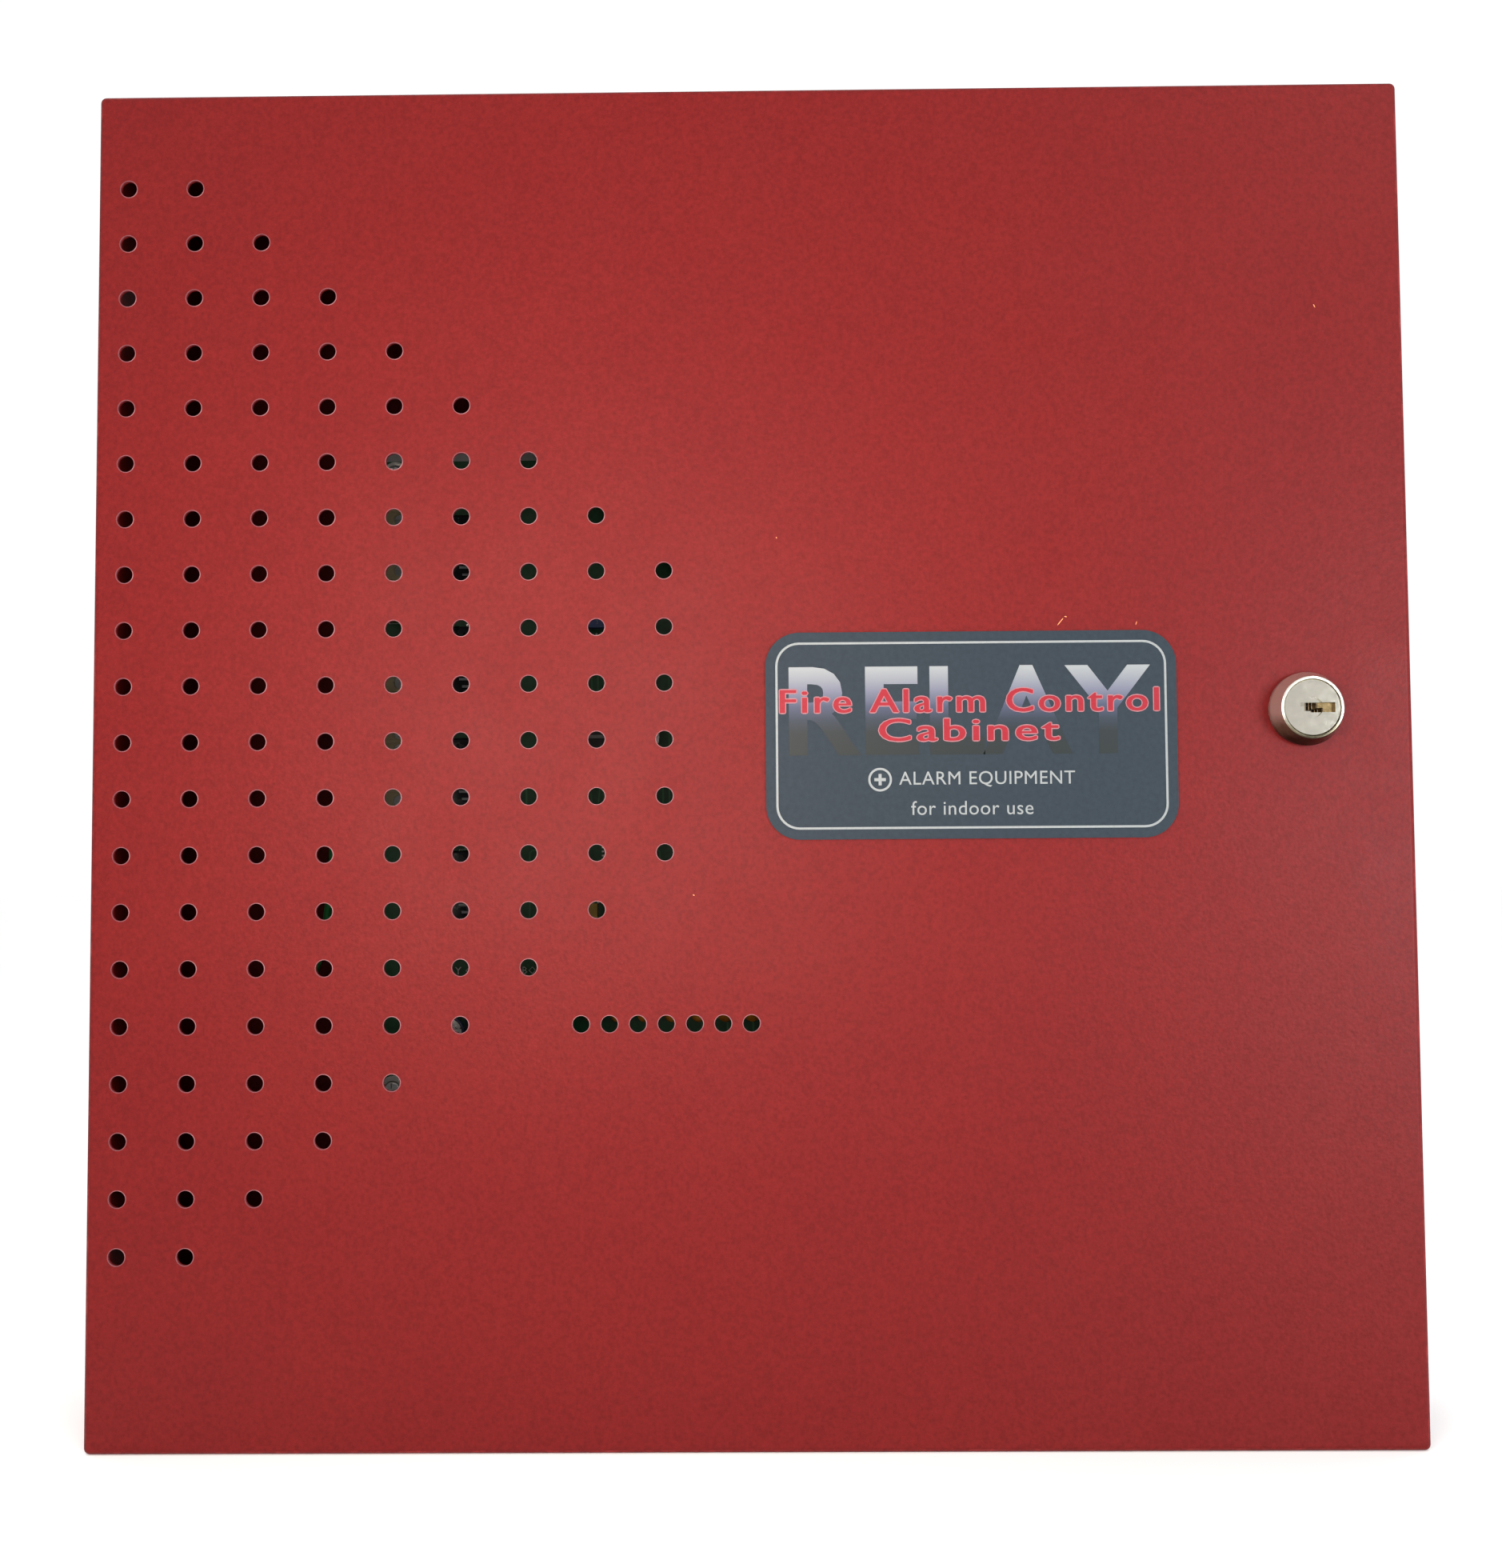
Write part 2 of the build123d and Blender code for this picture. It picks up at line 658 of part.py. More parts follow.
def light_spacers():
    radius = light_radius + light_collar / 2
    return group(rod_y(x, viewer_z, (collar_y, board_front), radius) for x in light_places)


def chip(x, z, size):
    """Moulded package with a bevelled top, on a smaller foot."""
    width, height, length = size
    foot = board_front - height / 12
    body = block(around(x, width), (board_front - height, foot), around(z, length))
    body = chamfer(body.edges().group_by(Axis.Y)[0], height / 8)
    return body + block(around(x, 0.8 * width), (foot, board_front), around(z, 0.8 * length))


def processor():
    return chip(*on_board(*processor_place), processor_size)


def driver_chips():
    x, z = driver_chip_place
    return group(chip(*on_board(side * x, z), driver_chip_size) for side in (-1, 1))


def crystal():
    """Metal can with round ends."""
    x, z = on_board(*crystal_place)
    width, height, length = crystal_size
    can = block(around(x, width), (board_front - height, board_front), around(z, length))
    return fillet(can.edges().filter_by(Axis.Y), 0.48 * width)


def filter_capacitors():
    cans = []
    for x, z, radius, height in capacitor_sizes:
        can = rod_y(*on_board(x, z), (board_front - height, board_front), radius)
        cans.append(fillet(can.edges().group_by(Axis.Y)[0], radius / 8))
    return group(cans)


def resistor_networks():
    width, height, length = network_size
    networks = []
    for step in (-1, 0, 1):
        x, z = on_board(step * network_pitch, network_z)
        networks.append(block(around(x, width), (board_front - height, board_front), around(z, length)))
    return group(networks)


dial_places = [on_board(-dial_place[0], dial_place[1]), on_board(*dial_place)]


def address_switches():
    """Square bodies of the two address switches, each with a round pocket."""
    bodies = []
    for x, z in dial_places:
        body = block(around(x, dial_body), (dial_face, board_front), around(z, dial_body))
        bodies.append(body - rod_y(x, z, (dial_face, dial_face + dial_pocket), dial_radius + dial_fit))
    return group(bodies)


def address_dial(x, z):
    """Round dial with a raised pointer bar, which has a screwdriver slot."""
    width, rise, length = dial_bar
    top = dial_face - rise
    dial = rod_y(x, z, (dial_face - dial_slot / 2, dial_face + dial_pocket - dip_fit), dial_radius)
    dial += block(around(x, width), (top, dial_face), around(z, length))
    return dial - block(around(x, dial_slot), (top, top + dial_slot), around(z, length))


dip_x = [main_board_x + (way - (dip_ways - 1) / 2) * dip_pitch for way in range(dip_ways)]
dip_middle = board_z + dip_z


def dip_body():
    """Body of the slide switches, with a slot for each button."""
    width = (dip_ways + 0.2) * dip_pitch
    body = block(around(main_board_x, width), (dip_face, board_front), around(dip_middle, dip_length))
    slot = block(
        around(0, dip_button + 2 * dip_fit),
        (dip_face, dip_face + dip_depth),
        around(dip_middle, dip_button + dip_travel + 2 * dip_fit),
    )
    return body - [Pos(x, 0, 0) * slot for x in dip_x]


def dip_slider(x):
    """Small square button at the lower end of its slot."""
    low = dip_middle - (dip_button + dip_travel) / 2
    height = (dip_face - 0.5, dip_face + dip_depth - dip_fit)
    return block(around(x, dip_button), height, (low, low + dip_button))


# ---- ribbon link between the boards
header_width, header_height, header_length = header_size
header_inset = header_edge + header_width / 2
link_x = (main_board_right - header_inset, expansion_board_left + header_inset)
link_z = board_z + header_z
header_front = board_front - header_height
ribbon_y = header_front - plug_rise / 2


def link_headers():
    """Shrouds of the two pin headers."""
    headers = []
    for x in link_x:
        shroud = block(around(x, header_width), (header_front, board_front), around(link_z, header_length))
        inside_x = around(x, header_width - 2 * header_wall)
        inside_z = around(link_z, header_length - 2 * header_wall)
        headers.append(shroud - block(inside_x, (header_front, board_front - header_floor), inside_z))
    return group(headers)


plug_width = header_width - 2 * (header_wall + plug_fit)
plug_length = header_length - 2 * (header_wall + plug_fit)


def link_plugs():
    """Ribbon sockets that stand in the headers and grip the cable."""
    plugs = []
    for x in link_x:
        height = (header_front - plug_rise, board_front - header_floor)
        plug = block(around(x, plug_width), height, around(link_z, plug_length))
        slit_x = around(x, header_width)
        plugs.append(plug - block(slit_x, around(ribbon_y, ribbon_thickness), around(link_z, ribbon_width)))
    return group(plugs)


def link_ribbon():
    """Flat cable gripped by both plugs, with a low arch between them."""
    start, end = link_x[0] - plug_width / 2, link_x[1] + plug_width / 2
    gap = link_x[1] - link_x[0] - plug_width
    left, right = link_x[0] + plug_width / 2, link_x[1] - plug_width / 2
    route = FilletPolyline(
        (start, ribbon_y),
        (left + 0.07 * gap, ribbon_y),
        (left + 0.38 * gap, ribbon_y - ribbon_arch),
        (right - 0.38 * gap, ribbon_y - ribbon_arch),
        (right - 0.07 * gap, ribbon_y),
        (end, ribbon_y),
        radius=ribbon_bend,
    )
    return Pos(0, 0, link_z - ribbon_width / 2) * extrude(trace(route, ribbon_thickness), ribbon_width)


# ---- earth connection
earth_x = chassis_x[0] - earth_stud_offset[0]
earth_z = board_z - earth_stud_offset[1]
lug_y = (floor_y - 2 * earth_washer, floor_y - earth_washer)
barrel_y = lug_y[0] - earth_wire_radius
barrel_z = (earth_z + earth_barrel[0], earth_z + earth_barrel[1])
barrel_floor = barrel_z[0] + earth_barrel_floor


def earth_ring(y, radius):
    return rod_y(earth_x, earth_z, y, radius) - rod_y(earth_x, earth_z, y, earth_stud_radius + 0.1)


def earth_stud():
    return rod_y(earth_x, earth_z, (floor_y - earth_stud_length, floor_y), earth_stud_radius)


def earth_washers():
    """Flat washer under the ring terminal, and another on top of it."""
    return group(
        [
            earth_ring((floor_y - earth_washer, floor_y), earth_washer_radii[0]),
            earth_ring((lug_y[0] - earth_washer, lug_y[0]), earth_washer_radii[1]),
        ]
    )


def earth_nut():
    seat = lug_y[0] - earth_washer
    y = (seat - earth_nut_height, seat)
    return hex_y(earth_x, earth_z, y, earth_nut_flats) - rod_y(earth_x, earth_z, y, earth_stud_radius)


def earth_ring_terminal():
    """Flat ring with a barrel crimped over the end of the earth wire."""
    tongue_z = (earth_z + earth_stud_radius + 0.5, barrel_z[1])
    tongue = block(around(earth_x, earth_tongue_width), lug_y, tongue_z)
    barrel = rod_z(earth_x, barrel_y, barrel_z, earth_wire_radius + earth_barrel_wall)
    wire_hole = rod_z(earth_x, barrel_y, (barrel_floor, barrel_z[1]), earth_wire_radius)
    return earth_ring(lug_y, earth_ring_radius) + tongue + barrel - wire_hole


def earth_wire():
    """Green wire from the lowest terminal at the left to the ring terminal, held at both ends."""
    entry_x = main_board_left + terminal_edge - terminal_width / 2
    entry_y = board_front - terminal_entry_height
    entry_z = terminal_z(board_z + terminal_rows[1])[0]
    route = [
        (entry_x + terminal_entry[0], entry_y, entry_z),
        (entry_x - 15.0, entry_y, entry_z),
        (entry_x - 16.5, entry_y + 2.5, entry_z - 24.0),
        (entry_x - 21.0, entry_y + 8.5, entry_z - 46.0),
        (earth_x + 3.5, barrel_y - 5.0, barrel_z[1] + 22.0),
        (earth_x, barrel_y, barrel_z[1] + 6.5),
        (earth_x, barrel_y, barrel_floor),
    ]
    bends = []
    for before, here, after in zip(route, route[1:], route[2:]):
        run_in, run_out = Vector(*here) - Vector(*before), Vector(*after) - Vector(*here)
        half_turn = radians(run_in.get_angle(run_out) / 2)
        bends.append(0.45 * min(run_in.length, run_out.length) / tan(half_turn))
    print("earth wire bends", [round(bend, 1) for bend in bends])
    path = FilletPolyline(*route, radius=bends)
    wire = sweep(Plane(origin=path @ 0, z_dir=path % 0) * Circle(earth_wire_radius), path)
    print("earth wire volume by length", round(wire.volume / path.length / (pi * earth_wire_radius**2), 4))
    return wire


pieces = {
    "backbox": backbox(),
    "door_panel": door_panel(),
    "nameplate": nameplate(),
    "wiring_label": wiring_label(),
    "lock_body": lock_body(),
    "lock_washer": lock_washer(),
    "lock_nut": lock_nut(),
    "lock_plug": lock_plug(),
    "lock_tumblers": lock_tumblers(),
    "lock_cam": lock_cam(),
    "cam_screw": cam_screw(),
    "chassis_plate": chassis_plate(),
    "chassis_studs": chassis_studs(),
    "chassis_spacers": chassis_spacers(),
    "chassis_nuts": chassis_nuts(),
    "board_standoffs": board_standoffs(),
    "board_screws": board_screws(),
    "main_board": circuit_board(*main_sides),
    "main_terminal_blocks": terminal_blocks(*main_sides),
    "main_terminal_screws": terminal_screws(*main_sides),
    "main_relay_bases": relay_bases(*main_sides),
    "main_relay_covers": relay_covers(*main_sides),
    "expansion_board": circuit_board(*expansion_sides),
    "expansion_terminal_blocks": terminal_blocks(*expansion_sides),
    "expansion_terminal_screws": terminal_screws(*expansion_sides),
    "expansion_relay_bases": relay_bases(*expansion_sides),
    "expansion_relay_covers": relay_covers(*expansion_sides),
    "status_lights": status_lights(),
    "light_spacers": light_spacers(),
    "processor": processor(),
    "driver_chips": driver_chips(),
    "crystal": crystal(),
    "filter_capacitors": filter_capacitors(),
    "resistor_networks": resistor_networks(),
    "address_switches": address_switches(),
    "dip_body": dip_body(),
    "link_headers": link_headers(),
    "link_plugs": link_plugs(),
    "link_ribbon": link_ribbon(),
    "earth_stud": earth_stud(),
    "earth_washers": earth_washers(),
    "earth_nut": earth_nut(),
    "earth_ring_terminal": earth_ring_terminal(),
    "earth_wire": earth_wire(),
}
for name, z in (("upper", hinge_z), ("lower", -hinge_z)):
    pieces[f"{name}_hinge_door_leaf"] = door_leaf(z)
    pieces[f"{name}_hinge_box_leaf"] = box_leaf(z)
    pieces[f"{name}_hinge_pin"] = hinge_pin(z)
for name, (x, z) in zip(("tens", "ones"), dial_places):
    pieces[f"address_dial_{name}"] = address_dial(x, z)
for way, x in enumerate(dip_x, start=1):
    pieces[f"dip_slider_{way}"] = dip_slider(x)

os.makedirs("parts", exist_ok=True)
for name, shape in pieces.items():
    export_step(shape, f"parts/{name}.step")
print(len(pieces), "nodes")
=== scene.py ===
from math import cos, pi, radians, sin

import bmesh
import bpy
from mathutils import Matrix, Vector


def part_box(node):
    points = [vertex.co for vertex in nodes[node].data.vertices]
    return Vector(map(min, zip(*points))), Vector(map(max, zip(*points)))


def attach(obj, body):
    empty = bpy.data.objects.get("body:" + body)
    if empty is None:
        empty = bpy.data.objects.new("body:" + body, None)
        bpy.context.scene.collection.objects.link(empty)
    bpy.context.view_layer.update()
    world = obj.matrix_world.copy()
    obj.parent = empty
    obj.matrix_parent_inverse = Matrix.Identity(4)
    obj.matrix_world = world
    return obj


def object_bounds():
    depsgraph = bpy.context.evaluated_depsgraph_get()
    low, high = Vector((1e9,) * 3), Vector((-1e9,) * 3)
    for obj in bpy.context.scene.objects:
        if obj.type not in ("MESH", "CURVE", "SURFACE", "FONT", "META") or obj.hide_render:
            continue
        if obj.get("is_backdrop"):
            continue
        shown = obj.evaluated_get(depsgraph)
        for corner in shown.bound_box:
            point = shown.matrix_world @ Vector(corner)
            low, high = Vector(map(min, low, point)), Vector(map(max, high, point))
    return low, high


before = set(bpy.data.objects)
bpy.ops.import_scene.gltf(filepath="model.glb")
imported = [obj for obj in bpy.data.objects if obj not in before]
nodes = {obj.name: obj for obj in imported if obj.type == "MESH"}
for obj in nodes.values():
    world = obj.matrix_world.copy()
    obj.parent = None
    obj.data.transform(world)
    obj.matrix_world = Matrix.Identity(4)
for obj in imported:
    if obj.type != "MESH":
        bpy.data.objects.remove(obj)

cad_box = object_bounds()
MM = 0.001

# ---- Camera
# It stands 42 cm in front of the door, a little below its middle, and looks very slightly upwards.
door_low, door_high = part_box("door_panel")
door_front = door_low.y
door_middle = (door_low + door_high) / 2
camera_data = bpy.data.cameras.new("camera")
camera_data.lens = 34.9
camera_data.sensor_width = 36
camera = bpy.data.objects.new("camera", camera_data)
pan, tilt, roll = radians(0.53), radians(2.6), radians(-0.39)
camera.location = (0.0042, door_front - 0.4243, door_middle.z - 0.0267)
camera.rotation_euler = (
    Matrix.Rotation(pan, 3, "Z") @ Matrix.Rotation(pi / 2 + tilt, 3, "X") @ Matrix.Rotation(roll, 3, "Z")
).to_euler()
bpy.context.scene.collection.objects.link(camera)
bpy.context.scene.camera = camera


# ---- Studio
# A pale floor under the cabinet, a white surround, and soft lamps at the front, at the right and behind.
def node(material, kind, inputs=None, **settings):
    """Adds a shader node. An input is a constant, or another node's output to link to."""
    made = material.node_tree.nodes.new("ShaderNode" + kind)
    for name, value in settings.items():
        setattr(made, name, value)
    for name, value in (inputs or {}).items():
        if isinstance(value, bpy.types.NodeSocket):
            material.node_tree.links.new(value, made.inputs[name])
        else:
            made.inputs[name].default_value = value
    return made


def surface(name, color, roughness, sockets=None):
    """Material whose shader holds these constants. Returns it and its shader."""
    material = bpy.data.materials.new(name)
    material.use_nodes = True
    shader = material.node_tree.nodes["Principled BSDF"]
    shader.inputs["Base Color"].default_value = (*color, 1)
    shader.inputs["Roughness"].default_value = roughness
    for socket, value in (sockets or {}).items():
        shader.inputs[socket].default_value = value
    return material, shader


def place_on(material, scale=(1, 1, 1), centre=(0, 0, 0)):
    """The piece's own coordinates in metres, measured from centre and multiplied by scale."""
    place = node(material, "TexCoord").outputs["Object"]
    moved = node(material, "VectorMath", {0: place, 1: centre}, operation="SUBTRACT").outputs[0]
    return node(material, "VectorMath", {0: moved, 1: scale}, operation="MULTIPLY").outputs[0]


def grain(material, size, detail=3.0, roughness=0.55, stretch=(1, 1, 1)):
    """Noise whose features are about this size in metres."""
    place = place_on(material, stretch)
    inputs = {"Vector": place, "Scale": 1 / size, "Detail": detail, "Roughness": roughness}
    return node(material, "TexNoise", inputs).outputs["Fac"]


def ramp(material, amount, *stops, interpolation="LINEAR"):
    """Colour that follows amount through (place, colour) stops. A single number is a grey."""
    made = node(material, "ValToRGB", {"Fac": amount})
    made.color_ramp.interpolation = interpolation
    elements = made.color_ramp.elements
    while len(elements) < len(stops):
        elements.new(0.5)
    for element, (place, color) in zip(elements, stops):
        element.position = place
        element.color = (color, color, color, 1) if isinstance(color, float) else (*color, 1)
    return made.outputs["Color"]


def mix(material, amount, first, second, kind="MIX"):
    """Mix of two colours, each a colour or another node's output."""
    made = node(material, "Mix", {"Factor": amount}, data_type="RGBA", blend_type=kind)
    for socket, value in zip((made.inputs[6], made.inputs[7]), (first, second)):
        if isinstance(value, bpy.types.NodeSocket):
            material.node_tree.links.new(value, socket)
        else:
            socket.default_value = (*value, 1)
    return made.outputs[2]


def math(material, operation, first, second=0.0):
    return node(material, "Math", {0: first, 1: second}, operation=operation).outputs[0]


def connect(material, output, shader, socket):
    material.node_tree.links.new(output, shader.inputs[socket])


def relief(material, shader, height, depth):
    """Raises the surface by depth in metres where height is 1."""
    bump = node(material, "Bump", {"Height": height, "Strength": 1.0, "Distance": depth})
    connect(material, bump.outputs["Normal"], shader, "Normal")


def piece(name, shape, material, body, sharp=35):
    """Makes a bmesh a finished piece that moves with a body."""
    bmesh.ops.recalc_face_normals(shape, faces=shape.faces)
    mesh = bpy.data.meshes.new(name)
    shape.to_mesh(mesh)
    shape.free()
    mesh.shade_smooth()
    mesh.set_sharp_from_angle(angle=radians(sharp))
    mesh.materials.append(material)
    made = bpy.data.objects.new(name, mesh)
    bpy.context.scene.collection.objects.link(made)
    if body:
        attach(made, body)
    return made


floor_paint, floor_shader = surface("floor_paint", (0.97, 0.97, 0.97), 0.8)
floor_tone = ramp(
    floor_paint, grain(floor_paint, 0.4), (0.3, (0.965, 0.965, 0.97)), (0.7, (0.985, 0.985, 0.98))
)
connect(floor_paint, floor_tone, floor_shader, "Base Color")
shape = bmesh.new()
bmesh.ops.create_grid(shape, size=6, matrix=Matrix.Translation((0, 0, cad_box[0].z)))
floor = piece("floor", shape, floor_paint, None)
floor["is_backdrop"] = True

world = bpy.data.worlds.new("studio")
bpy.context.scene.world = world
world.use_nodes = True
backdrop = world.node_tree.nodes["Background"]
backdrop.inputs["Color"].default_value = (1, 1, 1, 1)
backdrop.inputs["Strength"].default_value = 1.03


def lamp(name, place, target, size, power, color):
    """Square soft lamp that faces its target and doesn't show itself."""
    data = bpy.data.lights.new(name, "AREA")
    data.shape = "SQUARE"
    data.size = size
    data.energy = power
    data.color = color
    made = bpy.data.objects.new(name, data)
    made.location = place
    made.rotation_euler = (Vector(target) - Vector(place)).to_track_quat("-Z", "Y").to_euler()
    made.visible_camera = False
    bpy.context.scene.collection.objects.link(made)


lamp("front_lamp", (-0.078, -0.35, 0.03), (-0.078, door_front, 0.1), 0.24, 1.5, (1, 0.84, 0.74))
lamp("right_lamp", (0.66, -0.82, 0.0), (0.18, door_front, -0.01), 0.36, 8.5, (0.86, 0.95, 1))
lamp("key_lamp", (0.5, -0.6, 0.6), (0.1, door_front, 0), 0.12, 1.1, (1, 0.97, 0.93))
lamp("back_lamp", (-0.6, 1.1, 0.9), (0, 0, 0), 0.8, 4, (1, 1, 1))
bpy.context.scene.view_settings.view_transform = "Standard"

# ---- Door, backbox and hinge leaves
# Folded sheet steel with a baked red powder coat. The coat is satin, with a fine orange-peel grain and a
# faint speckle, and it is painted paler in patches along its bends: a painted highlight where the bends catch
# the light.
DOOR_RED = (0.114, 0.0074, 0.0074)


def powder_coat(name, low, high):
    """Red coat for a box-shaped pressing between two corners, with a painted highlight along its bends."""
    material, shader = surface(name, DOOR_RED, 0.42, {"Specular IOR Level": 0.09})
    speckle = ramp(material, grain(material, 0.0011, 2.0, 0.7), (0.3, 0.82), (0.7, 1.14))
    cloud = ramp(material, grain(material, 0.035, 4.0), (0.3, (0.98, 0.96, 0.98)), (0.7, (1.02, 1.05, 1.0)))
    tone = mix(material, 1.0, mix(material, 1.0, DOOR_RED, cloud, "MULTIPLY"), speckle, "MULTIPLY")
    middle, half = (low + high) / 2, (high - low) / 2
    offset = node(
        material, "VectorMath", {0: place_on(material, centre=middle)}, operation="ABSOLUTE"
    ).outputs[0]
    margin = node(material, "VectorMath", {0: tuple(half), 1: offset}, operation="SUBTRACT").outputs[0]
    parts = node(material, "SeparateXYZ", {0: margin}).outputs
    # Paler red in patches within 1.1 mm of the bends: a painted highlight.
    near = [math(material, "LESS_THAN", part, 0.0011) for part in parts]
    fold_highlight = math(
        material, "SUBTRACT", math(material, "ADD", math(material, "ADD", near[0], near[1]), near[2]), 1.0
    )
    fold_highlight = math(
        material, "MULTIPLY", fold_highlight, ramp(material, grain(material, 0.004), (0.5, 0.0), (0.75, 0.5))
    )
    fold_highlight = node(material, "Clamp", {"Value": fold_highlight}).outputs[0]
    tone = mix(material, fold_highlight, tone, (0.27, 0.03, 0.028))
    connect(material, tone, shader, "Base Color")
    connect(material, ramp(material, grain(material, 0.02), (0.3, 0.38), (0.7, 0.46)), shader, "Roughness")
    relief(material, shader, grain(material, 0.0012, 2.0), 0.00005)
    return material


def dress(names, material):
    """Gives CAD nodes a material."""
    for name in names:
        nodes[name].material_slots[0].material = material


dress(["door_panel"], powder_coat("door_coat", *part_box("door_panel")))
dress(["backbox"], powder_coat("backbox_coat", *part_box("backbox")))
hinge_leaves = (
    "upper_hinge_door_leaf", "lower_hinge_door_leaf", "upper_hinge_box_leaf", "lower_hinge_box_leaf",
)
for name in hinge_leaves:
    dress([name], powder_coat(name + "_coat", *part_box(name)))

# ---- Paint round the punched holes
# Each vent and viewing hole is punched before painting. The coat draws back from the sharp edge and leaves a
# thin, slightly raised lip,
# painted paler and greyer than the door: a painted reflection along the hole's edge.
vent_pitch = Vector((19.05 * MM, 0, -15.85 * MM))
first_vent = Vector((door_low.x + 8.9 * MM, door_front, door_high.z - 27.4 * MM))
viewer_pitch = 7.9 * MM
viewer_row = 15
vent_places = [
    first_vent + Vector((column * vent_pitch.x, 0, row * vent_pitch.z))
    for row in range(20)
    for column in range(min(row + 2, 9, 21 - row))
]
first_viewer = Vector((door_low.x + 137.8 * MM, door_front, first_vent.z + viewer_row * vent_pitch.z))
viewer_places = [first_viewer + Vector((step * viewer_pitch, 0, 0)) for step in range(7)]

# Pale greyish red for the lips: a painted edge reflection.
lip_sheen_coat, lip_shader = surface("hole_lip_painted_sheen", (0.14, 0.03, 0.037), 0.4)
lip_sheen_tone = ramp(lip_sheen_coat, grain(lip_sheen_coat, 0.002), (0.3, (0.12, 0.022, 0.028)), (0.7, (0.17, 0.045, 0.052)))
connect(lip_sheen_coat, lip_sheen_tone, lip_shader, "Base Color")
lip_profile = ((2.33, 0.45), (2.35, -0.04), (2.54, -0.05), (2.62, 0.05))
shape = bmesh.new()
for place in vent_places + viewer_places:
    profile = [
        shape.verts.new(place + Vector((radius * MM, depth * MM, 0))) for radius, depth in lip_profile
    ]
    edges = [shape.edges.new((profile[i], profile[(i + 1) % 4])) for i in range(4)]
    bmesh.ops.spin(
        shape, geom=profile + edges, cent=place, axis=(0, 1, 0), angle=2 * pi, steps=18, use_merge=True
    )
piece("hole_lips", shape, lip_sheen_coat, "door", sharp=60)

# ---- Nameplate
# Printed polycarbonate film on a thin plate, slate blue-grey, with a white line round it, a large word that
# fades from white to dark, two red lines edged in white and two white lines. The words are general ones.
plate_low, plate_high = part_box("nameplate")
plate_middle = (plate_low + plate_high) / 2
plate_front = plate_low.y
film, film_shader = surface("nameplate_film", (0.015, 0.023, 0.031), 0.5, {"Specular IOR Level": 0.12})
film_tone = ramp(
    film, grain(film, 0.0015, 4.0), (0.3, (0.0135, 0.0205, 0.028)), (0.7, (0.0175, 0.026, 0.0345))
)
connect(film, film_tone, film_shader, "Base Color")
relief(film, film_shader, grain(film, 0.0006), 0.000008)
dress(["nameplate"], film)


def ink(name, color, roughness=0.4):
    """Screen-printed ink with a slightly uneven film."""
    material, shader = surface(name, color, roughness, {"Specular IOR Level": 0.12})
    uneven = ramp(material, grain(material, 0.0008, 2.0), (0.3, 0.93), (0.7, 1.05))
    connect(material, mix(material, 1.0, color, uneven, "MULTIPLY"), shader, "Base Color")
    return material


def letters(shape, text, centre, height, width=None, weight=0.0, inwards=False, smooth=4, spacing=1.06):
    """Adds flat letters to a bmesh, facing the front, or the wall if inwards. Their thickness is INK."""
    curve = bpy.data.curves.new("letters", "FONT")
    curve.body = text
    curve.resolution_u = smooth
    curve.offset = weight
    curve.space_character = spacing
    written = bpy.data.objects.new("letters", curve)
    bpy.context.scene.collection.objects.link(written)
    bpy.context.view_layer.update()
    mesh = bpy.data.meshes.new_from_object(written.evaluated_get(bpy.context.evaluated_depsgraph_get()))
    bpy.data.objects.remove(written)
    word = bmesh.new()
    word.from_mesh(mesh)
    bpy.data.meshes.remove(mesh)
    bmesh.ops.remove_doubles(word, verts=word.verts, dist=1e-5)
    xs, ys = [vert.co.x for vert in word.verts], [vert.co.y for vert in word.verts]
    anchor = (max(xs) + min(xs)) / 2
    tall = height / (max(ys) - min(ys))
    wide = width / (max(xs) - min(xs)) if width else tall
    bmesh.ops.translate(word, verts=word.verts, vec=(-anchor, -(max(ys) + min(ys)) / 2, 0))
    bmesh.ops.scale(word, verts=word.verts, vec=(wide, tall, 1))
    raised = bmesh.ops.extrude_face_region(word, geom=word.faces[:])["geom"]
    raised = [part for part in raised if isinstance(part, bmesh.types.BMVert)]
    bmesh.ops.translate(word, verts=raised, vec=(0, 0, INK))
    turn = Matrix.Rotation(pi if inwards else 0, 4, "Z") @ Matrix.Rotation(pi / 2, 4, "X")
    bmesh.ops.transform(word, matrix=Matrix.Translation(centre) @ turn, verts=word.verts)
    mesh = bpy.data.meshes.new("letters")
    word.to_mesh(mesh)
    word.free()
    shape.from_mesh(mesh)
    bpy.data.meshes.remove(mesh)


def on_plate(x, z, layer=1):
    """Place on the nameplate in millimetres from its middle, on a layer of ink."""
    return Vector((plate_middle.x + x * MM, plate_front - layer * INK, plate_middle.z + z * MM))


def border(shape, middle, width, height, corner, line):
    """Adds a flat line round a rectangle with rounded corners, facing the front."""
    outline = bmesh.new()
    bmesh.ops.create_grid(outline, x_segments=1, y_segments=1, size=0.5)
    bmesh.ops.scale(outline, verts=outline.verts, vec=(width, height, 1))
    bmesh.ops.bevel(
        outline, geom=outline.verts[:], offset=corner, offset_type="OFFSET", segments=10, profile=0.5,
        affect="VERTICES", material=-1,
    )
    bmesh.ops.inset_region(
        outline, faces=outline.faces[:], thickness=line, use_boundary=True, use_even_offset=True
    )
    centre = max(outline.faces, key=lambda face: face.calc_area())
    bmesh.ops.delete(outline, geom=[centre], context="FACES")
    raised = bmesh.ops.extrude_face_region(outline, geom=outline.faces[:])["geom"]
    raised = [part for part in raised if isinstance(part, bmesh.types.BMVert)]
    bmesh.ops.translate(outline, verts=raised, vec=(0, 0, INK))
    bmesh.ops.transform(
        outline, matrix=Matrix.Translation(middle) @ Matrix.Rotation(pi / 2, 4, "X"), verts=outline.verts
    )
    mesh = bpy.data.meshes.new("outline")
    outline.to_mesh(mesh)
    outline.free()
    shape.from_mesh(mesh)
    bpy.data.meshes.remove(mesh)


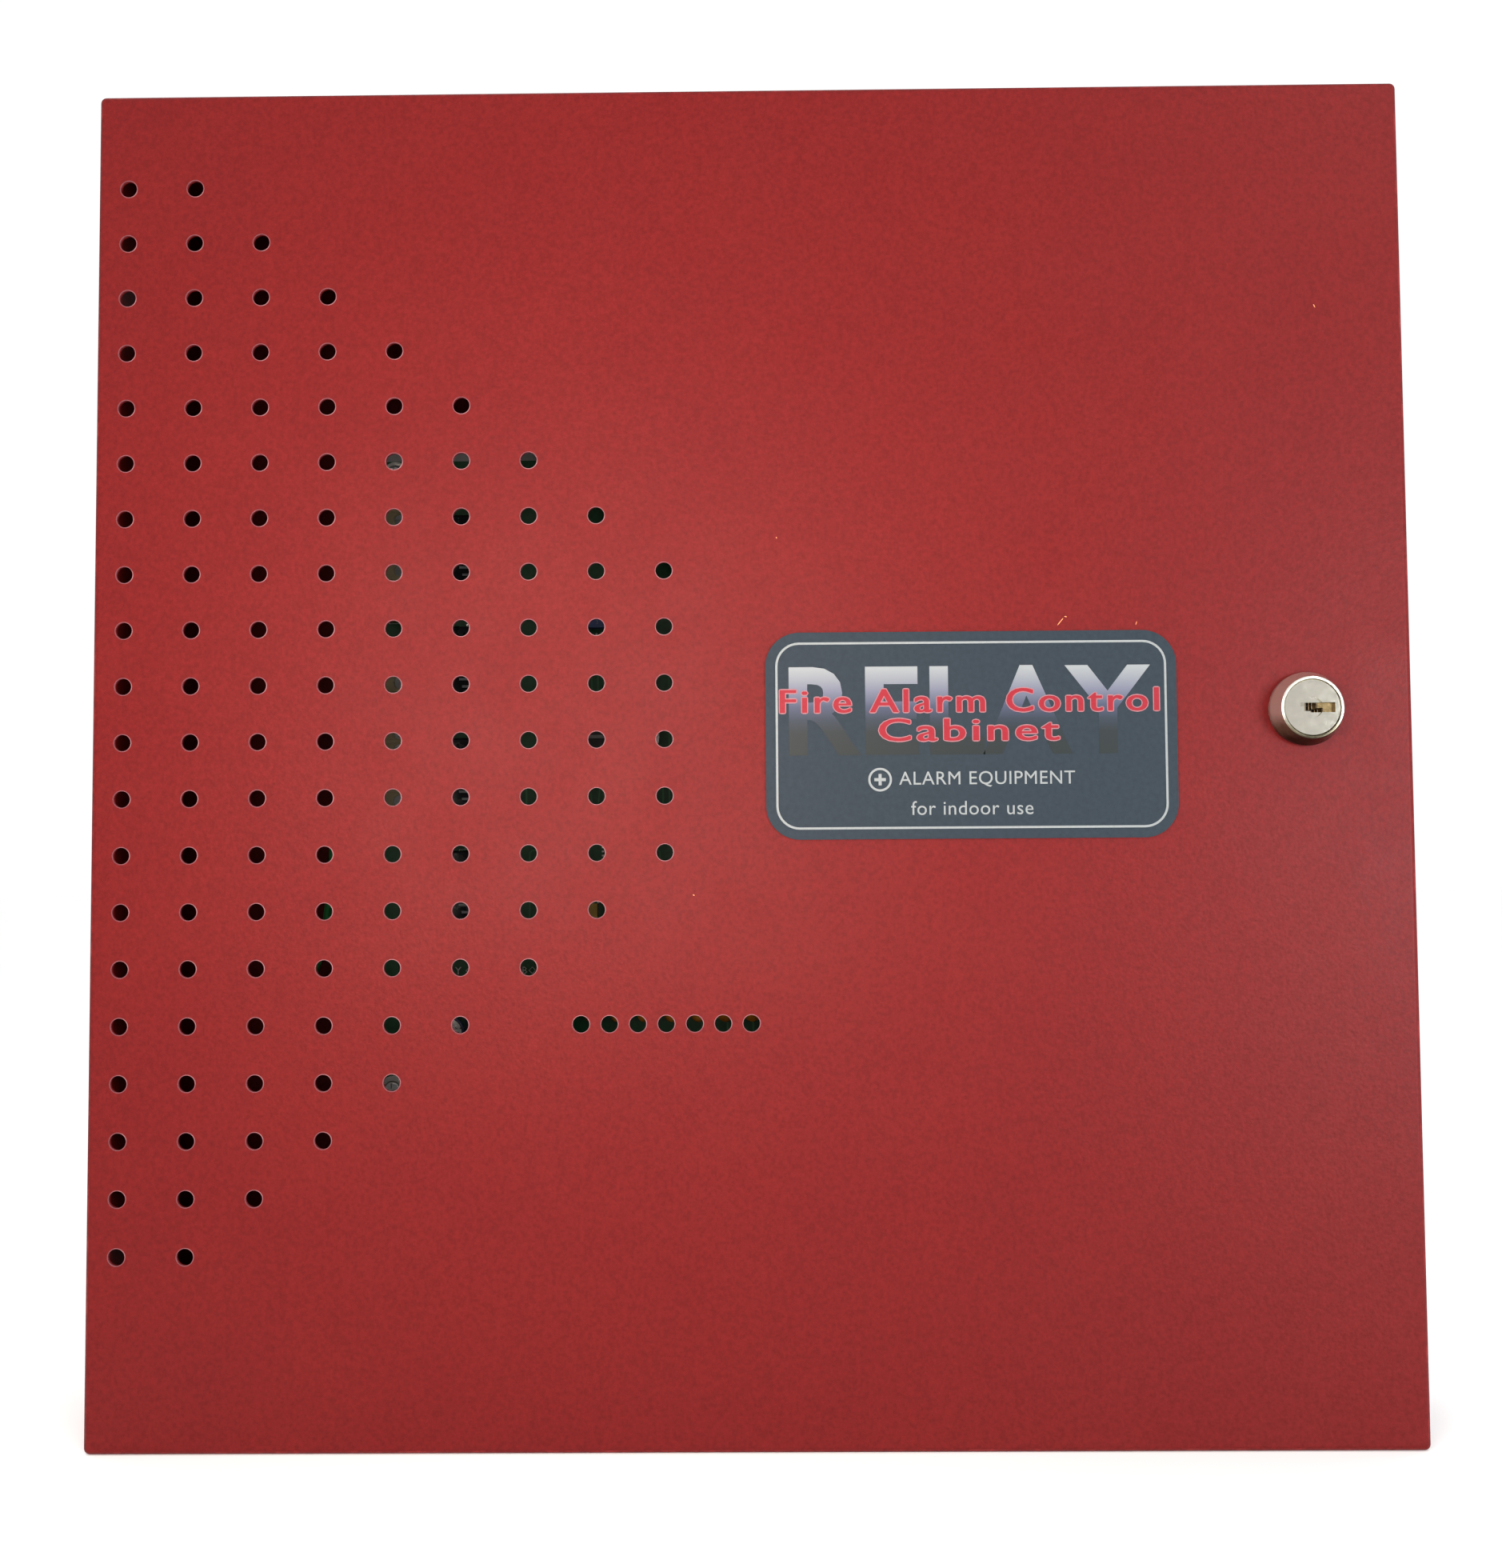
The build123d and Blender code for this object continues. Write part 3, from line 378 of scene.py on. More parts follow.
INK = 0.02 * MM
white_ink = ink("white_ink", (0.2, 0.215, 0.215))
red_ink = ink("red_ink", (0.215, 0.013, 0.021))
edge_ink = ink("edge_ink", (0.24, 0.105, 0.12))
plate_size = plate_high - plate_low
shape = bmesh.new()
border(shape, on_plate(0, 0), plate_size.x - 5.6 * MM, plate_size.z - 5.6 * MM, 6.6 * MM, 0.62 * MM)
letters(shape, "ALARM EQUIPMENT", on_plate(4.2, -12.4), 4.4 * MM, 49 * MM)
letters(shape, "for indoor use", on_plate(0, -20.4), 3.9 * MM, 34 * MM)
border(shape, on_plate(-25.6, -12.4), 6.6 * MM, 6.6 * MM, 3.28 * MM, 0.6 * MM)
letters(shape, "+", on_plate(-25.6, -12.4), 3.2 * MM, 3.2 * MM, 0.03)
piece("nameplate_white_print", shape, white_ink, "door")

word_height, word_z = 24.9 * MM, 6.95
fading_ink, fading_shader = surface("fading_ink", (0.3, 0.3, 0.4), 0.4, {"Specular IOR Level": 0.2})
word_bottom = plate_middle.z + word_z * MM - word_height / 2
height_up = node(
    fading_ink, "SeparateXYZ", {0: place_on(fading_ink, (1, 1, 1 / word_height), (0, 0, word_bottom))}
).outputs[2]
fading_tone = ramp(
    fading_ink, height_up,
    (0.0, (0.009, 0.013, 0.013)), (0.26, (0.01, 0.0145, 0.016)), (0.4, (0.017, 0.024, 0.036)),
    (0.55, (0.042, 0.048, 0.08)), (0.72, (0.105, 0.11, 0.15)), (0.97, (0.2, 0.215, 0.22)),
)
connect(fading_ink, fading_tone, fading_shader, "Base Color")
shape = bmesh.new()
letters(shape, "RELAY", on_plate(-0.4, word_z), word_height, 101 * MM, 0.03, spacing=1.1)
piece("nameplate_large_word", shape, fading_ink, "door")
edge_shape, shape = bmesh.new(), bmesh.new()
red_lines = (("Fire Alarm Control", -0.5, 9.65, 105.5, 6.6), ("Cabinet", -0.6, 1.45, 50, 6.3))
for text, x, z, width, height in red_lines:
    for step in range(8):
        aside, up = 0.47 * cos(step * pi / 4), 0.32 * sin(step * pi / 4)
        letters(
            edge_shape, text, on_plate(x + aside, z + up, 2 + step / 50), height * MM, width * MM,
            spacing=1.16
        )
    for step, aside in enumerate((-0.2, 0.0, 0.2)):
        letters(shape, text, on_plate(x + aside, z, 3 + step / 50), height * MM, width * MM, spacing=1.16)
piece("nameplate_word_edges", edge_shape, edge_ink, "door")
piece("nameplate_red_words", shape, red_ink, "door")

# ---- Lock
# Cam lock of nickel-plated brass and zinc die-casting. Its head is polished and its face is satin, with brass
# wafers in the keyway. A zinc-plated cam and washer sit behind the door.
def metal(name, color, roughness, uneven=0.08, grain_size=0.002, scratch=0.00001, stretch=(1, 1, 1)):
    """Plated or bare metal whose tone and roughness vary a little, with fine scratches."""
    material, shader = surface(name, color, roughness, {"Metallic": 1.0})
    tone = ramp(material, grain(material, grain_size * 3), (0.3, 1 - uneven), (0.7, 1 + uneven))
    connect(material, mix(material, 1.0, color, tone, "MULTIPLY"), shader, "Base Color")
    rough = ramp(
        material, grain(material, grain_size), (0.3, roughness * 0.75), (0.7, min(roughness * 1.35, 1.0))
    )
    connect(material, rough, shader, "Roughness")
    relief(material, shader, grain(material, grain_size / 8, 4.0, 0.6, stretch), scratch)
    return material


lock_low, lock_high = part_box("lock_body")
lock_middle = (lock_low + lock_high) / 2
nickel, nickel_shader = surface("nickel", (0.6, 0.56, 0.48), 0.12, {"Metallic": 0.85})
# Below its middle the head is painted dark, a painted dark reflection of the ground under it; above its
# middle it is a little paler.
lock_up = node(nickel, "SeparateXYZ", {0: place_on(nickel, (50, 1, 50), lock_middle)}).outputs[2]
lock_height_mottled = math(nickel, "ADD", lock_up, math(nickel, "MULTIPLY", grain(nickel, 0.003), 0.12))
paler_top_tone = ramp(nickel, lock_height_mottled, (0.0, (0.6, 0.57, 0.5)), (0.3, (0.68, 0.65, 0.57)))
painted_dark_reflection = ramp(
    nickel, math(nickel, "ADD", lock_height_mottled, 0.5), (0.12, (0.05, 0.04, 0.025)), (0.3, (0.3, 0.27, 0.2)),
    (0.5, (1.0, 1.0, 1.0))
)
connect(nickel, mix(nickel, 1.0, paler_top_tone, painted_dark_reflection, "MULTIPLY"), nickel_shader, "Base Color")
connect(nickel, ramp(nickel, grain(nickel, 0.002), (0.3, 0.1), (0.7, 0.17)), nickel_shader, "Roughness")
relief(nickel, nickel_shader, grain(nickel, 0.0004, 4.0), 0.000002)
plain_nickel = metal("plain_nickel", (0.6, 0.56, 0.48), 0.3)
lock_face = metal("lock_face", (0.5, 0.47, 0.4), 0.06, 0.06, 0.0012, 0.000001)
brass = metal("brass", (0.72, 0.5, 0.2), 0.28)
zinc = metal("zinc", (0.52, 0.53, 0.54), 0.38, 0.14, 0.006)
steel = metal("steel", (0.5, 0.5, 0.51), 0.35, 0.12)
dress(["lock_body"], nickel)
dress(["lock_nut"], plain_nickel)
dress(["lock_plug"], lock_face)
# The wafers are painted far darker than the brass elsewhere: painted shade deep in the keyway.
dress(["lock_tumblers"], metal("wafer_brass_painted_shade", (0.11, 0.075, 0.035), 0.45, 0.35, 0.0005))
dress(["lock_washer", "lock_cam", "cam_screw"], zinc)

# ---- Scratches in the door's coat
# Short nicks, mostly above the nameplate, where the top coat has chipped and the orange undercoat shows.
primer, primer_shader = surface("primer", (0.6, 0.16, 0.05), 0.7)
connect(
    primer,
    ramp(primer, grain(primer, 0.0006), (0.4, (0.5, 0.12, 0.04)), (0.6, (0.72, 0.26, 0.1))),
    primer_shader, "Base Color",
)
nicks = ((25.4, 31.6, 3.0, -50), (26.9, 33.0, 0.9, 15), (46.6, 31.0, 1.2, 110), (98.4, 120.7, 1.2, 65),
         (-77.8, -44.2, 0.6, 30), (-54.0, 56.0, 0.5, 80))
shape = bmesh.new()
for x, z, length, angle in nicks:
    place = Matrix.Translation((plate_middle.x + x * MM, door_front - 0.01 * MM, plate_middle.z + z * MM))
    size = Matrix.Diagonal((length * MM, 0.03 * MM, 0.28 * MM, 1))
    place = place @ Matrix.Rotation(radians(angle), 4, "Y") @ size
    bmesh.ops.create_icosphere(shape, subdivisions=1, radius=0.5, matrix=place)
piece("door_nicks", shape, primer, "door")

# ---- Hinges
# Plain steel pins in the rolled leaves. The door lifts off them when it is open.
dress(["upper_hinge_pin", "lower_hinge_pin"], steel)

# ---- Wiring label
# White paper label inside the door, printed with a table of the relays' contacts.
paper, paper_shader = surface("paper", (0.5, 0.49, 0.45), 0.75)
fibres = ramp(paper, grain(paper, 0.0007, 5.0), (0.3, (0.47, 0.465, 0.43)), (0.7, (0.52, 0.51, 0.475)))
yellowed = mix(paper, ramp(paper, grain(paper, 0.04), (0.4, 0.0), (0.8, 0.35)), fibres, (0.46, 0.42, 0.32))
connect(paper, yellowed, paper_shader, "Base Color")
relief(paper, paper_shader, grain(paper, 0.0005), 0.00001)
dress(["wiring_label"], paper)
black_ink = ink("black_ink", (0.03, 0.03, 0.032), 0.55)


def slab(shape, low, high):
    """Adds a box between two corners."""
    low, high = Vector(low), Vector(high)
    place = Matrix.Translation((low + high) / 2) @ Matrix.Diagonal((*(high - low), 1))
    return bmesh.ops.create_cube(shape, size=1, matrix=place)["verts"]


label_low, label_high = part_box("wiring_label")
label_middle = (label_low + label_high) / 2


def on_label(x, z):
    """Place on the label in millimetres from its middle, as seen from behind the door."""
    return Vector((label_middle.x - x * MM, label_high.y + INK / 2, label_middle.z + z * MM))


def label_line(shape, x, z, width, height):
    place = on_label(x, z)
    size = Vector((width, 0, height)) * MM / 2 + Vector((0, INK / 2, 0))
    slab(shape, place - size, place + size)


shape = bmesh.new()
letters(shape, "RELAY CONTACTS", on_label(0, 60), 5 * MM, weight=0.015, inwards=True)
row_height, first_row, row_count = 11.0, 44.0, 9
for x in (-54, -24, 4, 29, 54):
    label_line(
        shape, x, first_row + row_height / 2 - row_height * row_count / 2, 0.5, row_height * row_count
    )
for row in range(row_count + 1):
    label_line(shape, 0, first_row + row_height / 2 - row * row_height, 108.5, 0.9 if row < 2 else 0.4)
columns = ((-39, "RELAY"), (-10, "OPEN"), (16.5, "COMMON"), (41.5, "CLOSED"))
for x, text in columns:
    letters(shape, text, on_label(x, first_row), 2.8 * MM, inwards=True, smooth=2)
for row in range(1, row_count):
    z = first_row - row * row_height
    for (x, _), text in zip(columns, (f"K{row}", f"{3 * row - 2}", f"{3 * row - 1}", f"{3 * row}")):
        letters(shape, text, on_label(x, z), 3.2 * MM, inwards=True, smooth=2)
letters(shape, "Connect the cable shield to the earth stud only.", on_label(0, -60), 3.0 * MM, 104 * MM,
        inwards=True, smooth=2)
piece("wiring_label_print", shape, black_ink, "door")

# ---- Chassis
# Zinc-plated steel plate on nylon spacers, held by studs and flanged nuts, with brass posts for the boards.
nylon, nylon_shader = surface(
    "nylon", (0.5, 0.48, 0.42), 0.45,
    {"Subsurface Weight": 0.1, "Subsurface Radius": (0.002, 0.002, 0.0015)}
)
connect(
    nylon,
    ramp(nylon, grain(nylon, 0.003), (0.3, (0.47, 0.455, 0.4)), (0.7, (0.53, 0.515, 0.46))),
    nylon_shader, "Base Color",
)
plate_zinc = metal("plate_zinc", (0.43, 0.44, 0.45), 0.4, 0.16, 0.012, 0.000015, (0.06, 1, 1))
dress(["chassis_plate"], plate_zinc)
dress(["chassis_nuts", "board_screws"], zinc)
dress(["chassis_studs"], steel)
dress(["chassis_spacers"], nylon)
dress(["board_standoffs"], brass)

# ---- Circuit boards
# Glass-fibre boards with a green solder mask. The copper under the mask shows as raised, paler lines, with
# tinned rings at the joints and a white legend.
mask, mask_shader = surface("solder_mask", (0.008, 0.085, 0.028), 0.34, {"Specular IOR Level": 0.3})
cells = node(mask, "TexVoronoi", {"Vector": place_on(mask), "Scale": 900.0}, distance="CHEBYCHEV")
weave = cells.outputs["Distance"]
mask_tone = mix(
    mask, ramp(mask, grain(mask, 0.03), (0.3, 0.2), (0.7, 0.8)), (0.005, 0.062, 0.02), (0.01, 0.098, 0.034)
)
mask_tone = mix(mask, 1.0, mask_tone, ramp(mask, weave, (0.0, 0.88), (0.6, 1.1)), "MULTIPLY")
connect(mask, mask_tone, mask_shader, "Base Color")
relief(mask, mask_shader, weave, 0.000008)
dress(["main_board", "expansion_board"], mask)

main_low, main_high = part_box("main_board")
side_low, side_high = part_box("expansion_board")
board_y = main_low.y
copper_y = board_y - 0.03 * MM


def track(shape, points, width):
    """Adds a flat copper track through (x, z) points in millimetres, on the boards' front."""
    for start, end in zip(points, points[1:]):
        start, end = Vector((start[0], 0, start[1])) * MM, Vector((end[0], 0, end[1])) * MM
        run = end - start
        place = Matrix.Translation((start + end) / 2 + Vector((0, board_y - 0.01 * MM, 0)))
        place = place @ run.to_track_quat("X", "Y").to_matrix().to_4x4()
        size = (run.length + width * MM * 0.7, width * MM, 0.04 * MM, 1)
        if abs(run.to_track_quat("X", "Y").to_matrix()[1][1]) > 0.5:
            size = (run.length + width * MM * 0.7, 0.04 * MM, width * MM, 1)
        bmesh.ops.create_cube(shape, size=1, matrix=place @ Matrix.Diagonal(size))


def elbow(start, turn_x, end):
    """Points of a track that runs sideways, turns at turn_x with cut corners and runs on sideways."""
    (x0, z0), (x1, z1) = start, end
    cut = min(0.8, abs(z1 - z0) / 2)
    up = cut if z1 > z0 else -cut
    across = cut if x1 > x0 else -cut
    return [
        (x0, z0), (turn_x - across, z0), (turn_x, z0 + up), (turn_x, z1 - up), (turn_x + across, z1),
        (x1, z1)
    ]


block_columns = (-106.65, 9.0, 45.85, 140.15)
block_rows = (66.5, 7.3)
relay_columns = (-84.0, -13.65, 68.5, 117.5)
relay_rows = (62.0, 28.0, -6.0, -40.0)
way_pitch = 5.08
sides = (-1, 1, -1, 1)  # side of the board on which a column stands
copper, copper_shader = surface("masked_copper", (0.02, 0.15, 0.05), 0.32, {"Specular IOR Level": 0.3})
connect(
    copper,
    ramp(copper, grain(copper, 0.01), (0.3, (0.016, 0.13, 0.042)), (0.7, (0.028, 0.175, 0.06))),
    copper_shader, "Base Color",
)
shape = bmesh.new()
for block_x, relay_x, side in zip(block_columns, relay_columns, sides):
    inner = block_x - side * 6.3
    relay_edge = relay_x + side * 6.4
    for block_z in block_rows:
        for way in range(8):
            z = block_z + (way - 3.5) * way_pitch
            jog = 1.4 if way % 2 else -1.4
            bend = inner - side * (2.2 + 0.3 * way)
            track(shape, [(inner, z), (bend, z), (bend - side * 1.4, z + jog), (relay_edge, z + jog)], 1.3)
    far = relay_x - side * 6.4
    for line in range(8):
        z = relay_rows[line // 2] + (9.0 if line % 2 else -9.0)
        turn = far - side * (2.5 + 1.0 * line)
        track(shape, elbow((far, z), turn, (far - side * 13.5, -14.0 - 1.9 * line)), 0.5)
for step in range(10):
    x = -57.5 + 1.95 * step
    track(shape, [(x, -2.0), (x + (0.6 if step % 2 else -0.6), -5.0), (x, -12.0)], 0.45)
    track(shape, [(x, 23.0), (x, 35.0 + step * 0.4), (x + 1.5, 42.0)], 0.45)
    track(shape, [(x, -35.0), (x, -41.5)], 0.45)
for light in range(7):
    x = -47.4 + 7.9 * light
    track(shape, [(x, -76.5), (x, -82.0)], 0.6)
    track(shape, [(x, -90.5), (x, -94.5)], 0.6)
track(shape, [(-95.0, -94.5), (0.5, -94.5)], 2.2)
track(shape, [(-98.0, -70.0), (-98.0, -92.0), (-94.0, -96.5)], 2.2)
for step in range(12):
    x = 81.0 + 1.9 * step
    track(shape, [(x, -66.0 - 0.8 * step), (x, 76.0 - 1.9 * (step % 2))], 0.45)
    track(
        shape,
        [(50.5, -32.0 - 1.4 * step), (58.0, -32.0 - 1.4 * step), (80.9 + 1.9 * step, -66.0 - 0.8 * step)],
        0.4
    )
piece("board_tracks", shape, copper, "cabinet")

tin = metal("tin", (0.48, 0.48, 0.46), 0.3, 0.1)
shape = bmesh.new()


def ring(shape, x, z, outer, inner, segments=10):
    """Adds a tinned ring with a solder cone in it."""
    place = Matrix.Translation((x * MM, copper_y, z * MM)) @ Matrix.Rotation(pi / 2, 4, "X")
    bmesh.ops.create_cone(
        shape, cap_ends=True, segments=segments, radius1=outer * MM, radius2=inner * MM, depth=0.12 * MM,
        matrix=place
    )


for relay_x, side in zip(relay_columns, sides):
    far = relay_x - side * 6.4
    for line in range(8):
        ring(shape, far - side * 13.5, -14.0 - 1.9 * line, 0.55, 0.3)
for step in range(10):
    x = -57.5 + 1.95 * step
    ring(shape, x + 1.5, 42.0, 0.5, 0.28)
    ring(shape, x, -41.5, 0.5, 0.28)
for step in range(12):
    ring(shape, 81.0 + 1.9 * step, 76.0 - 1.9 * (step % 2), 0.5, 0.28)
for left, right in ((main_low.x, main_high.x), (side_low.x, side_high.x)):
    for x in (left / MM + 4.2, right / MM - 4.2):
        for z in (main_low.z / MM + 4.2, main_high.z / MM - 4.2):
            ring(shape, x, z, 4.2, 4.1, 24)
piece("board_rings", shape, tin, "cabinet")

legend_ink = ink("legend_ink", (0.46, 0.47, 0.45), 0.6)


def on_boards(x, z, rise=0.03):
    return Vector((x * MM, board_y - rise * MM, z * MM))


shape = bmesh.new()
for index, (relay_x, side) in enumerate(zip(relay_columns, sides)):
    for row, z in enumerate(relay_rows):
        border(shape, on_boards(relay_x, z), 14.2 * MM, 30.4 * MM, 0.3 * MM, 0.2 * MM)
        letters(
            shape, f"K{4 * index + row + 1}", on_boards(relay_x - side * 9.6, z + 12.5), 1.9 * MM, smooth=1
        )
for index, (block_x, side) in enumerate(zip(block_columns, sides)):
    for block_z in block_rows:
        border(shape, on_boards(block_x - side * 0.4, block_z), 13.9 * MM, 41.6 * MM, 0.3 * MM, 0.2 * MM)
        letters(shape, f"TB{index + 1}", on_boards(block_x, block_z + 22.4), 1.9 * MM, smooth=1)
        for way in range(8):
            place = on_boards(block_x - side * 7.6, block_z + (way - 3.5) * way_pitch + 2.4)
            letters(shape, str(way + 1), place, 1.4 * MM, smooth=1)
for x, name in ((-56.825, "TENS"), (-40.825, "ONES")):
    border(shape, on_boards(x, 72.0), 11.0 * MM, 11.0 * MM, 0.3 * MM, 0.2 * MM)
    letters(shape, name, on_boards(x, 81.9), 1.7 * MM, smooth=1)
    for digit in range(10):
        angle = digit * radians(36)
        off_x, off_z = 7.4 * sin(angle), 7.4 * cos(angle)
        letters(shape, str(digit), on_boards(x + off_x, 72.0 + off_z), 1.3 * MM, smooth=1)
border(shape, on_boards(-48.825, 12.0), 23.4 * MM, 23.4 * MM, 1.2 * MM, 0.2 * MM)
letters(shape, "ADDRESS", on_boards(-48.825, 86.3), 2.2 * MM, smooth=1)
letters(shape, "ON", on_boards(-57.5, 51.0), 1.6 * MM, smooth=1)
for light in range(7):
    letters(shape, str(light + 1), on_boards(-47.4 + 7.9 * light, -69.3), 1.7 * MM, smooth=1)
for x, z, radius in ((-91.825, -80.0, 5.0), (-77.825, -80.0, 4.0), (-65.825, -84.0, 4.0)):
    border(
        shape, on_boards(x, z), (2 * radius + 1.4) * MM, (2 * radius + 1.4) * MM, (radius + 0.68) * MM,
        0.2 * MM
    )
    letters(shape, "+", on_boards(x - radius - 1.6, z + 2.0), 1.5 * MM, smooth=1)
letters(shape, "RELAY CONTROL BOARD", on_boards(-80.0, -62.5), 2.3 * MM, smooth=1)
letters(shape, "EXPANSION BOARD", on_boards(93.0, -92.0), 2.6 * MM, smooth=1)
for x in (9.35, 45.5):
    border(shape, on_boards(x, -40.0), 10.4 * MM, 21.4 * MM, 0.3 * MM, 0.2 * MM)
piece("board_legend", shape, legend_ink, "cabinet")

# ---- Terminal blocks
# Beige moulded nylon with a rib between the ways and a zinc-plated clamp screw in each.
moulded, moulded_shader = surface("moulded_nylon", (0.36, 0.29, 0.16), 0.42)
connect(
    moulded,
    ramp(moulded, grain(moulded, 0.008), (0.3, (0.33, 0.265, 0.14)), (0.7, (0.39, 0.315, 0.18))),
    moulded_shader, "Base Color",
)
relief(moulded, moulded_shader, grain(moulded, 0.0004), 0.00001)
dress(["main_terminal_blocks", "expansion_terminal_blocks"], moulded)
dress(["main_terminal_screws", "expansion_terminal_screws"], zinc)
block_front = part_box("main_terminal_blocks")[0].y / MM
shape = bmesh.new()
for block_x, side in zip(block_columns, sides):
    for block_z in block_rows:
        edge = block_x + side * 6.25
        for way in range(9):
            z = block_z + (way - 4) * way_pitch
            z += 0.3 if way == 0 else -0.3 if way == 8 else 0
            near, far = sorted((edge - side * 2.0, block_x - side * 5.9))
            slab(
                shape, Vector((near, block_front - 0.6, z - 0.3)) * MM,
                Vector((far, block_front + 0.1, z + 0.3)) * MM
            )
            near, far = sorted((edge - side * 0.2, edge - side * 2.05))
            slab(
                shape, Vector((near, block_front + 1.2, z - 0.3)) * MM,
                Vector((far, block_front + 6.05, z + 0.3)) * MM
            )
bmesh.ops.bevel(shape, geom=shape.edges[:], offset=0.08 * MM, offset_type="OFFSET", segments=1, profile=0.5,
                affect="EDGES", material=-1)
piece("terminal_ribs", shape, moulded, "cabinet")

# ---- Relays
# Sealed relays with glossy black moulded covers on a duller base, printed in pale grey.
cover, cover_shader = surface("relay_cover", (0.014, 0.014, 0.016), 0.25)
connect(cover, ramp(cover, grain(cover, 0.004), (0.3, 0.2), (0.7, 0.32)), cover_shader, "Roughness")
relief(cover, cover_shader, grain(cover, 0.0008), 0.000006)
dull, dull_shader = surface("dull_black", (0.02, 0.02, 0.021), 0.55)
connect(
    dull,
    ramp(dull, grain(dull, 0.0015), (0.3, (0.016, 0.016, 0.017)), (0.7, (0.028, 0.028, 0.029))),
    dull_shader, "Base Color",
)
relief(dull, dull_shader, grain(dull, 0.0003), 0.000012)
dress(["main_relay_covers", "expansion_relay_covers"], cover)
dress(["main_relay_bases", "expansion_relay_bases"], dull)
grey_ink = ink("grey_ink", (0.3, 0.31, 0.31), 0.5)
relay_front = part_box("main_relay_covers")[0].y / MM
shape = bmesh.new()
for relay_x in relay_columns:
    for z in relay_rows:
        face = Vector((relay_x * MM, relay_front * MM, z * MM))
        letters(shape, "24 V", face + Vector((0, 0, 7 * MM)), 2.4 * MM, smooth=1)
        for line, width in enumerate((8.0, 6.2, 7.2)):
            low = face + Vector((-width / 2, -0.02, -2.0 - 2.2 * line)) * MM
            slab(shape, low, low + Vector((width, 0.02, 0.7)) * MM)
        border(shape, face + Vector((0, 0, -10.5 * MM)), 3.4 * MM, 3.4 * MM, 1.6 * MM, 0.25 * MM)
piece("relay_print", shape, grey_ink, "cabinet")

# ---- Chips and small parts
# Moulded chips with tinned leads, a steel crystal can, electrolytic capacitors in a shrink sleeve, dipped
# resistor networks, and small wired resistors and diodes soldered across the board.
dress(["processor", "driver_chips", "light_spacers", "link_headers", "link_plugs"], dull)
dress(["crystal"], metal("can", (0.42, 0.42, 0.41), 0.25, 0.06))
resin, resin_shader = surface("resin", (0.5, 0.33, 0.04), 0.25, {"Coat Weight": 0.4})
connect(
    resin,
    ramp(resin, grain(resin, 0.003), (0.3, (0.45, 0.29, 0.03)), (0.7, (0.55, 0.37, 0.06))),
    resin_shader, "Base Color",
)
dress(["resistor_networks"], resin)
sleeve, sleeve_shader = surface("sleeve", (0.012, 0.02, 0.06), 0.22, {"Coat Weight": 0.3})
connect(
    sleeve,
    ramp(sleeve, grain(sleeve, 0.004), (0.3, (0.01, 0.016, 0.05)), (0.7, (0.016, 0.026, 0.075))),
    sleeve_shader, "Base Color",
)
dress(["filter_capacitors"], sleeve)


def rod(shape, start, end, radius, segments=10):
    """Adds a round rod between two points in millimetres."""
    start, end = Vector(start) * MM, Vector(end) * MM
    turn = (end - start).to_track_quat("Z", "Y").to_matrix().to_4x4()
    bmesh.ops.create_cone(
        shape, cap_ends=True, segments=segments, radius1=radius * MM, radius2=radius * MM,
        depth=(end - start).length, matrix=Matrix.Translation((start + end) / 2) @ turn,
    )


top = board_y / MM
shape = bmesh.new()


def lead(shape, x, z, across, along):
    """Adds a gull-wing lead from a package's side to the board. across and along are unit (x, z) steps."""
    side = Vector((across[0], 0, across[1]))
    wide = Vector((abs(along[0]), 0, abs(along[1]))) * 0.25
    here = Vector((x, top, z))
    for near, far, low, high in ((-0.1, 0.7, 1.5, 1.75), (0.5, 0.75, 0.0, 1.75), (0.5, 1.5, 0.0, 0.25)):
        corners = [
            here + side * near - wide - Vector((0, low, 0)), here + side * far + wide - Vector((0, high, 0))
        ]
        first = Vector([min(a, b) for a, b in zip(*corners)]) * MM
        last = Vector([max(a, b) for a, b in zip(*corners)]) * MM
        slab(shape, first, last)


for x in (-56.325, -41.325):
    for step in range(14):
        z = -24.0 + (step - 6.5) * 1.27
        lead(shape, x - 3.8, z, (-1, 0), (0, 1))
        lead(shape, x + 3.8, z, (1, 0), (0, 1))
for step in range(13):
    offset = (step - 6) * 1.27
    lead(shape, -48.825 + offset, 22.0, (0, 1), (1, 0))
    lead(shape, -48.825 + offset, 2.0, (0, -1), (1, 0))
    lead(shape, -58.825, 12.0 + offset, (-1, 0), (0, 1))
    lead(shape, -38.825, 12.0 + offset, (1, 0), (0, 1))
diodes = [(x, z + 17.0) for x in relay_columns for z in relay_rows] + [(x, -60.5) for x in relay_columns[2:]]
resistors = [(-47.4 + 7.9 * light, -86.3) for light in range(7)]
resistors += [(-66.0 + 5.0 * step, 92.0 - 4.0 * (step % 2)) for step in range(3)]
for x, z in diodes:
    rod(shape, (x - 4.6, top - 1.2, z), (x + 4.6, top - 1.2, z), 0.3, 6)
    for end in (-4.4, 4.4):
        rod(shape, (x + end, top, z), (x + end, top - 1.4, z), 0.3, 6)
for x, z in resistors:
    rod(shape, (x, top - 1.3, z - 4.2), (x, top - 1.3, z + 4.2), 0.3, 6)
    for end in (-4.0, 4.0):
        rod(shape, (x, top, z + end), (x, top - 1.5, z + end), 0.3, 6)
piece("small_leads", shape, tin, "cabinet")

shape = bmesh.new()
for x, z in diodes:
    rod(shape, (x - 2.2, top - 1.2, z), (x + 2.2, top - 1.2, z), 1.1, 12)
bmesh.ops.bevel(shape, geom=shape.edges[:], offset=0.2 * MM, offset_type="OFFSET", segments=1, profile=0.5,
                affect="EDGES", material=-1)
piece("diode_bodies", shape, dull, "cabinet")
shape = bmesh.new()
for x, z in diodes:
    rod(shape, (x + 1.1, top - 1.2, z), (x + 1.6, top - 1.2, z), 1.13, 12)
piece("diode_bands", shape, grey_ink, "cabinet")

